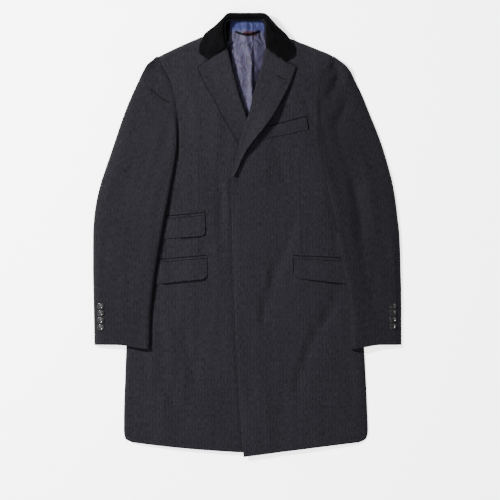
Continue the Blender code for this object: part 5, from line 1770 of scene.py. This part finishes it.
@dataclass
class CuffButtons(SubAssembly):
    """Four turned buttons at each cuff, with four holes and two strands of thread."""

    count: int = 4
    steps: int = 40
    seat: float = 0.35
    slope_step: float = 3.0
    pitch: Both = Both(16.2, 15.6)
    top: Both = Both((-335.7, -162.2), (333.6, -162.0))
    profile: tuple[Spot, ...] = (
        (0.0, 1.75), (1.6, 1.75), (3.0, 1.78), (4.2, 1.9), (4.9, 2.3), (5.4, 2.9), (6.0, 3.2), (6.7, 3.15),
        (7.2, 2.8), (7.4, 2.2), (7.35, 1.5), (7.0, 0.8), (6.2, 0.3), (5.2, 0.0), (0.0, 0.0),
    )
    edge_angle: float = 55.0
    hole_away: float = 1.35
    hole_radius: float = 0.62
    hole_cells: tuple[int, int] = (12, 6)
    dome_flatness: float = 0.5
    dome_z: float = 1.78
    thread_radius: float = 0.42
    thread_cells: tuple[int, int] = (8, 8)
    strand_z: float = 1.72
    strand_bow: float = 0.55

    def button_mesh(self, name: str, horn: bpy.types.Material, thread: bpy.types.Material) -> bpy.types.Mesh:
        """Turned button around the origin, its thread on it.

        Args:
            name: Name of the mesh.
            horn: The button's material.
            thread: The thread's material.

        Returns:
            The mesh.
        """
        shape = bmesh.new()
        skin(shape, [[(x, y, z) for x, y in ring(radius, self.steps if radius else 1)]
                     for radius, z in self.profile], 0)
        for way_x, way_y in ((1, 1), (-1, 1), (-1, -1), (1, -1)):
            self.dome(shape, way_x * self.hole_away, way_y * self.hole_away)
        for away in (-self.hole_away, self.hole_away):
            self.strand(shape, away)
        bmesh.ops.recalc_face_normals(shape, faces=shape.faces[:])
        mesh = bpy.data.meshes.new(name)
        shape.to_mesh(mesh)
        shape.free()
        mesh.shade_smooth()
        mesh.set_sharp_from_angle(angle=math.radians(self.edge_angle))
        mesh.materials.append(horn)
        mesh.materials.append(thread)
        return mesh

    def dome(self, shape: bmesh.types.BMesh, x: float, y: float) -> None:
        """Add the thread that fills a hole, as a low dome."""
        around, up = self.hole_cells
        made = bmesh.ops.create_uvsphere(shape, u_segments=around, v_segments=up, radius=self.hole_radius * MM)
        for vertex in made["verts"]:
            height = vertex.co.z * self.dome_flatness + self.dome_z * MM
            vertex.co = Vector((vertex.co.x + x * MM, vertex.co.y + y * MM, height))
            for face in vertex.link_faces:
                face.material_index = 1

    def strand(self, shape: bmesh.types.BMesh, y: float) -> None:
        """Add a strand of thread between two holes, bowed up over the button's face."""
        steps, around = self.thread_cells
        rings = []
        for share in (k / steps for k in range(steps + 1)):
            x = mix(-self.hole_away, self.hole_away, share)
            z = self.strand_z + self.strand_bow * math.sin(math.pi * share)
            rings.append([(x, y + away, z + up) for away, up in ring(self.thread_radius, around)])
        skin(shape, rings, 1, capped=True)

    def build(self, cloth: Materials, sleeves: Sleeves) -> None:
        """Seat the buttons on the slope of their sleeves.

        Args:
            cloth: The finished materials by name.
            sleeves: The sleeves, which give the slope.
        """
        for side in Side:
            for number in range(self.count):
                name = f"cuff_button_{side.word}_{number + 1}"
                x, y = side.of(self.top)
                y -= number * side.of(self.pitch)
                step = self.slope_step
                rise_x = sleeves.surface(side, x + step, y) - sleeves.surface(side, x - step, y)
                rise_y = sleeves.surface(side, x, y + step) - sleeves.surface(side, x, y - step)
                normal = Vector((-rise_x, -rise_y, 2.0 * step)).normalized()
                mesh = self.button_mesh(f"{name}_horn", cloth["horn"], cloth["thread"])
                turn = normal.to_track_quat("Z", "Y")
                foot = (Vector((x, y, sleeves.surface(side, x, y))) + normal * self.seat) * MM
                for vertex in mesh.vertices:
                    vertex.co = turn @ vertex.co + foot
                self.join(put(mesh.name, mesh), "horn", [name])
            LOG.info("cuff buttons on the %s sleeve: %d", side.word, self.count)


STITCH_NODES = {
    "given": "NodeGroupInput",
    "result": "NodeGroupOutput",
    "line": "GeometryNodeMeshToCurve",
    "spots": "GeometryNodeCurveToPoints",
    "strand": "GeometryNodeMeshCylinder",
    "turned": "GeometryNodeTransform",
    "angles": "ShaderNodeCombineXYZ",
    "laid": "GeometryNodeInstanceOnPoints",
    "real": "GeometryNodeRealizeInstances",
    "soft": "GeometryNodeSetShadeSmooth",
    "dyed": "GeometryNodeSetMaterial",
}
STITCH_LINKS = (
    ("given", "Line", "line", "Mesh"),
    ("line", "Curve", "spots", "Curve"),
    ("given", "Pitch", "spots", "Length"),
    ("given", "Thread", "strand", "Radius"),
    ("given", "Length", "strand", "Depth"),
    ("given", "Turn", "angles", "Y"),
    ("strand", "Mesh", "turned", "Geometry"),
    ("angles", "Vector", "turned", "Rotation"),
    ("spots", "Points", "laid", "Points"),
    ("spots", "Rotation", "laid", "Rotation"),
    ("turned", "Geometry", "laid", "Instance"),
    ("laid", "Instances", "real", "Geometry"),
    ("real", "Geometry", "soft", "Geometry"),
    ("soft", "Geometry", "dyed", "Geometry"),
    ("given", "Thread material", "dyed", "Material"),
    ("dyed", "Geometry", "result", "Stitches"),
)


@dataclass
class Stitching(SubAssembly):
    """Rows of stitches, laid along paths by a node tree."""

    fly_lift: float = 0.05
    fly_step: float = 2.5
    hole_ends: tuple[Spot, Spot] = ((68.5, 363.8), (87.0, 355.3))
    hole_width: float = 0.9
    hole_lift: float = 0.1
    hole_step: float = 1.0
    eye: float = 1.7
    eye_points: int = 25
    eye_open: float = 40.0
    eye_neck: float = 0.4
    loop_seams: Both = Both((-24.5, 466.0), (30.5, 467.6))
    loop_reach: float = 2.0
    loop_lift: float = 0.15
    loop_step: float = 0.5
    tree: bpy.types.NodeTree | None = None

    def make_tree(self) -> bpy.types.NodeTree:
        """Node tree that sets stitches along a line.

        Returns:
            The tree, with named inputs for pitch, length, thread and turn.
        """
        tree = bpy.data.node_groups.new("stitch_row", "GeometryNodeTree")
        face = tree.interface
        face.new_socket("Line", in_out="INPUT", socket_type="NodeSocketGeometry")
        for name, value in (("Pitch", 0.003), ("Length", 0.002), ("Thread", 0.0003), ("Turn", 0.0)):
            face.new_socket(name, in_out="INPUT", socket_type="NodeSocketFloat").default_value = value
        face.new_socket("Thread material", in_out="INPUT", socket_type="NodeSocketMaterial")
        face.new_socket("Stitches", in_out="OUTPUT", socket_type="NodeSocketGeometry")
        nodes = {name: tree.nodes.new(kind) for name, kind in STITCH_NODES.items()}
        nodes["spots"].mode = "LENGTH"
        nodes["strand"].inputs["Vertices"].default_value = 6
        nodes["strand"].inputs["Side Segments"].default_value = 1
        for giver, output, taker, taken in STITCH_LINKS:
            tree.links.new(nodes[giver].outputs[output], nodes[taker].inputs[taken])
        return tree

    def row(self, name: str, path: Sequence[Point], thread: bpy.types.Material, slot: str, **sizes: float) -> None:
        """Lay one row of stitches.

        Args:
            name: The row's name.
            path: Points it follows, in millimetres.
            thread: The thread.
            slot: The record's material slot; not used.
            sizes: Pitch, Length and Thread in millimetres, and Turn in degrees.
        """
        self.tree = self.tree or self.make_tree()
        mesh = bpy.data.meshes.new(name)
        mesh.from_pydata([(x * MM, y * MM, z * MM) for x, y, z in path],
                         [(k, k + 1) for k in range(len(path) - 1)], [])
        drawn = put(name, mesh)
        modifier = drawn.modifiers.new("stitches", "NODES")
        modifier.node_group = self.tree
        sockets = {item.name: item.identifier for item in self.tree.interface.items_tree
                   if item.item_type == "SOCKET" and item.in_out == "INPUT"}
        modifier[sockets["Thread material"]] = thread
        for size, value in sizes.items():
            modifier[sockets[size]] = math.radians(value) if size == "Turn" else value * MM
        drawn.update_tag()
        bpy.context.view_layer.update()
        stitches = put(name, plain_mesh(drawn, name))
        self.join(stitches, slot, [])
        LOG.info("%s: %d faces of thread", name, len(stitches.data.polygons))

    def along(self, shell: Shell, corners: Sequence[Spot], lift: float, step: float) -> list[Point]:
        """Points of a line drawn over a cloth piece.

        Args:
            shell: The piece.
            corners: The line's corners, in plan.
            lift: Height over the cloth.
            step: Distance between points.

        Returns:
            Points on the cloth.
        """
        path = []
        for start, end in zip(corners, corners[1:]):
            count = max(1, round(math.dist(start, end) / step))
            path += [(mix(start[0], end[0], k / count), mix(start[1], end[1], k / count)) for k in range(count)]
        path.append(corners[-1])
        return [(x, y, shell.height_at(x, y) + lift) for x, y in path]

    def buttonhole(self) -> list[Spot]:
        """Outline of the buttonhole, with a round eye at its start."""
        start, end = (Vector(spot) for spot in self.hole_ends)
        length = (end - start).length
        along = (end - start).normalized()
        across = Vector((-along.y, along.x))
        outline = []
        for k in range(self.eye_points):
            turn = math.radians(mix(self.eye_open, 360.0 - self.eye_open, k / (self.eye_points - 1)))
            outline.append(start + along * (self.eye * math.cos(turn)) + across * (self.eye * math.sin(turn)))
        neck = start + along * (self.eye + self.eye_neck)
        side = across * self.hole_width
        outline += [neck - side, end - side, end + side, neck + side, outline[0]]
        return [(spot.x, spot.y) for spot in outline if (spot - start).length < length + 2.0 * self.hole_width]

    def build(self, cloth: Materials, front: Shell, lapel: Shell, loop: Shell) -> None:
        """Sew the fly's line, the lapel's buttonhole and the loop's ends.

        Args:
            cloth: The finished materials by name.
            front: The over front.
            lapel: The over lapel.
            loop: The hanger loop.
        """
        self.row("fly_stitches", self.along(front, FLY_LINE, self.fly_lift, self.fly_step), cloth["thread"],
                 "wool", Pitch=3.2, Length=2.2, Thread=0.28, Turn=0.0)
        self.row("lapel_buttonhole", self.along(lapel, self.buttonhole(), self.hole_lift, self.hole_step),
                 cloth["thread"], "wool", Pitch=0.62, Length=1.7, Thread=0.34, Turn=90.0)
        for side in Side:
            x, y = side.of(self.loop_seams)
            ends = ((x, y - self.loop_reach), (x, y + self.loop_reach))
            self.row(f"loop_stitches_{side.word}", self.along(loop, ends, self.loop_lift, self.loop_step),
                     cloth["tape_thread"], "tape", Pitch=0.7, Length=2.6, Thread=0.24, Turn=90.0)


class Lamp(NamedTuple):
    """A square light: where it hangs and its side in metres, its power in watts and its colour."""

    name: str
    place: Point
    power: float
    size: float
    color: Point


@dataclass
class Studio:
    """Plain pale floor, soft light from the upper left, and a camera straight above."""

    middle: Spot = (6.3, -34.0)
    view: float = 1.15
    lens: float = 200.0
    sensor: float = 36.0
    far: float = 100.0
    lamps: tuple[Lamp, ...] = (
        Lamp("key", (-1.8, 1.05, 2.4), 380.0, 0.4, (1.0, 0.985, 0.96)),
        Lamp("fill", (-0.9, -1.4, 3.4), 165.0, 2.6, (0.96, 0.98, 1.0)),
    )
    sky: float = 0.55
    sky_color: tuple[float, ...] = opaque(0.97, 0.98, 1.0)
    floor_half: float = 4.0
    floor_z: float = -0.0004
    floor_color: tuple[float, ...] = opaque(0.95, 0.95, 0.955)
    floor_glow: float = 2.2
    tooth: Noise = Noise(400.0, 400.0, 2.0, 0.5)

    def floor(self) -> None:
        """Lay the floor just under the coat."""
        mesh = bpy.data.meshes.new("floor")
        corners = ((-1, -1), (1, -1), (1, 1), (-1, 1))
        mesh.from_pydata([(x * self.floor_half, y * self.floor_half, self.floor_z) for x, y in corners], [],
                         [(0, 1, 2, 3)])
        graph = Graph("floor_paper")
        mesh.materials.append(graph.finish(self.floor_color, 0.9, graph.noise(*graph.plan(), self.tooth), 0.0001,
                                           0.2, Emission_Strength=self.floor_glow,
                                           Emission_Color=opaque(1.0, 1.0, 1.0)))
        put("floor", mesh)

    def light(self, lamp: Lamp) -> None:
        """Hang a square light that faces the coat."""
        light = bpy.data.lights.new(lamp.name, "AREA")
        light.energy = lamp.power
        light.size = lamp.size
        light.color = lamp.color
        hung = put(lamp.name, light)
        hung.location = lamp.place
        hung.rotation_euler = (-Vector(lamp.place)).to_track_quat("-Z", "Y").to_euler()

    def build(self) -> None:
        """Set up floor, lights, sky and camera."""
        self.floor()
        for lamp in self.lamps:
            self.light(lamp)
        world = bpy.data.worlds.new("sky")
        world.use_nodes = True
        background = world.node_tree.nodes["Background"]
        background.inputs["Color"].default_value = self.sky_color
        background.inputs["Strength"].default_value = self.sky
        bpy.context.scene.world = world
        camera = bpy.data.cameras.new("camera")
        camera.lens = self.lens
        camera.sensor_width = self.sensor
        camera.clip_end = self.far
        eye = put("camera", camera)
        distance = self.view * self.lens / self.sensor
        eye.location = (self.middle[0] * MM, self.middle[1] * MM, distance)
        bpy.context.scene.camera = eye
        LOG.info("camera %.2f m above the floor", distance)


BODY_CREASES = table(
    Crease, (-146, -214, -112, -345, 5, 8, 1.4), (-212, -332, -134, -446, -6, 8, 1.3),
    (-250, -180, -232, -330, 4, 9, 1.1), (112, 44, 62, -86, -5, 8, 1.3), (64, -84, 33, -214, 4, 8, 1.3),
    (206, -136, 158, -226, -4, 8, 1.4), (158, -228, 108, -366, 6, 8, 1.3), (-70, 150, -58, 20, -4, 7, 1),
    (70, 190, 104, 90, 5, 8, 1), (-190, -100, -168, -210, 4, 7, 0.8), (0, -230, 8, -400, -3, 9, 1),
    (120, 330, 152, 250, -4, 8, 1.1), (-146, 368, -150, 306, 2, 9, 1.1), (-118, 330, -150, 255, 4, 8, 1),
)
LAPEL_CREASES = table(
    Crease, (-30, 300, -60, 372, 3, 6, 0.35), (30, 290, 64, 356, -3, 6, 0.4),
)
SLEEVE_CREASES = table(
    Crease, (-222, 338, -186, 302, 3, 4.5, 1.2), (-236, 320, -196, 262, 5, 6, 1.2),
    (-330, 66, -246, -8, 5, 8, 0.9), (-336, 20, -262, -52, -5, 8, 0.7), (-196, 96, -262, 34, 4, 7, 0.6),
    (-300, -80, -262, -210, 4, 9, 0.7), (214, 380, 181, 312, -3, 7.5, 2.6),
    (229.7, 312, 206.7, 258, -2, 8, 2.2), (244, 128, 262, -30, -4, 13, 3.2), (266, -12, 290, -164, 5, 8, 0.8),
    (320, 96, 262, 38, -4, 7, 0.6), (318, -120, 300, -226, -3, 8, 0.5),
)
LINING_CREASES = table(
    Crease, (-22, 440, -14, 300, 3, 5, 0.8), (30, 430, 20, 300, -3, 4, 0.7), (-34, 452, -26, 380, 2, 3.5, 0.5),
    (2, 456, 22, 392, -2, 3.5, 0.5), (12, 452, 30, 441, -3, 2.6, 2), (30, 470, 35, 446, 2, 2.6, 2),
    (14, 392, 13, 345, 0.5, 2.4, 2.2), (-14, 486, -10, 470, 1.5, 3, 1.2), (4, 488, 7, 470, -1.5, 3, 1.4),
    (20, 486, 24, 472, 1.5, 3, 1.2), (-34, 420, -12, 396, 3, 3, 0.9), (-30, 380, -14, 350, 3, 3, 0.9),
    (22, 400, 34, 372, 3, 3, 0.9),
)
FLY_LINE = ((11, 166), (16, 104), (20, 46), (24.5, -5), (29, -57), (33, -115), (36, -165))
# Dark lines in the coating by material: sewn darts and seams, and painted shade.
WOOL_SEAMS_AND_SHADE = {
    "front_right": (
        Line(0.0015, 0.4, (((-110, 184), (-111, -43)), ((-187, 30), (-187, -46)))),
        # Painted shadow on the front along the lapel's outer edge and notch.
        Line(0.0032, 0.45, (((-90, 403), (-101, 394.6), (-114, 384), (-113.6, 382), (-98, 347), (-78.6, 317),
                             (-59.4, 278), (-38, 240), (-17.4, 206)),)),
        # The jets' upper seams, darkened further with painted shade at the pocket mouths.
        Line(0.0018, 0.85, (((-93, -46.2), (-200, -55.8)), ((-96.5, 51.8), (-200, 42)))),
        # Painted shadow below the flaps' lower edges and round their inner corners.
        Line(0.0042, 0.72, (((-93, -96), (-96, -102.6), (-106, -104.6), (-190, -112)),
                            ((-95, 14), (-97, 2), (-106, -3.2), (-150, -7)))),
        # The armhole seam, drawn wide and dark with painted shade along the sleeve's edge.
        Line(0.0042, 0.5, (((-205.3, 393.8), (-184.6, 363.9), (-173, 330), (-166.5, 302), (-161.5, 265)),)),
        # Painted shade on the under front beside the over front's edge.
        Line(0.0075, 0.22, (((-41, 126), (-39.5, 60), (-38.5, -11), (-34, -126), (-29.5, -241), (-22, -379),
                             (-12.5, -505)),)),
    ),
    "front_left": (
        # Painted shade in the notch between the collar's end and the lapel.
        Line(0.0034, 0.5, (((87, 402), (100, 394.6), (113.5, 386.5)),)),
        Line(0.0015, 0.4, (((119, 173), (125, -43)), ((193, 35), (199, -46)))),
        # The jet's upper seam and the welt's upper edge and outer end, darkened with painted shade at the pocket
        # mouths.
        Line(0.0018, 0.75, (((107, -46.8), (215, -51.6)), ((52, 250.6), (136.8, 272.2), (141.6, 241)))),
        # Painted shadow along the flap's inner and lower edges.
        Line(0.0030, 0.7, (((106.2, -54), (107, -84), (112, -97), (150, -104), (215, -112)),)),
        # The armhole seam, continued down the sleeve's inner edge, darkened with painted shade.
        Line(0.0034, 0.25, (((195.5, 405), (181, 378), (171.8, 360), (165.8, 338), (162.3, 310), (161.2, 283),
                             (162, 240), (165.5, 200)),)),
    ),
    "back": (Line(0.0016, 0.6, (((0, -505), (0, 498)),)),),
    "sleeve": (
        # Painted shade in the crease under the wearer's right arm.
        Line(0.0030, 0.55, (((-219, 333), (-206, 322), (-193, 312), (-178.5, 303.5)),)),
        # The sleeve's side of the armhole seam, darkened with painted shade.
        Line(0.0034, 0.25, (((-207, 393), (-186, 362.5), (-175, 329), (-168.5, 301), (-163.5, 265)),)),
        # Painted shade along the wearer's left sleeve near its inner edge, where it faces the light.
        Line(0.0065, 0.36, (((162.7, 311), (165.5, 242), (170, 185), (179.5, 118), (187, 81), (197, 40),
                             (205, 8)),)),
    ),
}
# The sleeves' lower tone is painted shade, which darkens them where they face more of the light.
WOOL_TONES_AND_SHADE = {"front_right": 0.97, "front_left": 0.97, "back": 0.97, "lapel": 0.97, "sleeve": 0.83, "flap": 0.97}


def finishes() -> Materials:
    """Make every material once.

    Returns:
        The materials by name.
    """
    wools = {name: WoolFinish(f"coating_{name}", tone=tone, lines=WOOL_SEAMS_AND_SHADE.get(name, ()))
             for name, tone in WOOL_TONES_AND_SHADE.items()}
    made = {
        **wools,
        "velvet": VelvetFinish(),
        "satin": SatinFinish(),
        "tape": TapeFinish("hanger_tape", opaque(0.0004, 0.0004, 0.0008), opaque(0.0014, 0.0014, 0.0028)),
        "woven_tab": TapeFinish("plain_tab", opaque(0.018, 0.007, 0.010), opaque(0.046, 0.017, 0.023), rib=0.0006),
        "horn": HornFinish(),
        "thread": ThreadFinish("sewing_thread"),
        "tape_thread": ThreadFinish("tape_thread", opaque(0.004, 0.0037, 0.006)),
    }
    return {name: finish.build() for name, finish in made.items()}


def main() -> None:
    """Dress the coat piece by piece, and set the stage."""
    logging.basicConfig(level=logging.INFO, format="%(message)s")
    cloth = finishes()
    fronts = Panels().build(cloth)
    lapels = Lapels().build(cloth)
    Collar().build(cloth)
    sleeves = Sleeves()
    sleeves.build(cloth)
    Pockets().build(cloth)
    loop = NeckLining().build(cloth)
    CuffButtons().build(cloth, sleeves)
    Stitching().build(cloth, fronts[Side.LEFT], lapels[Side.LEFT], loop)
    Studio().build()


if __name__ == "__main__":
    main()
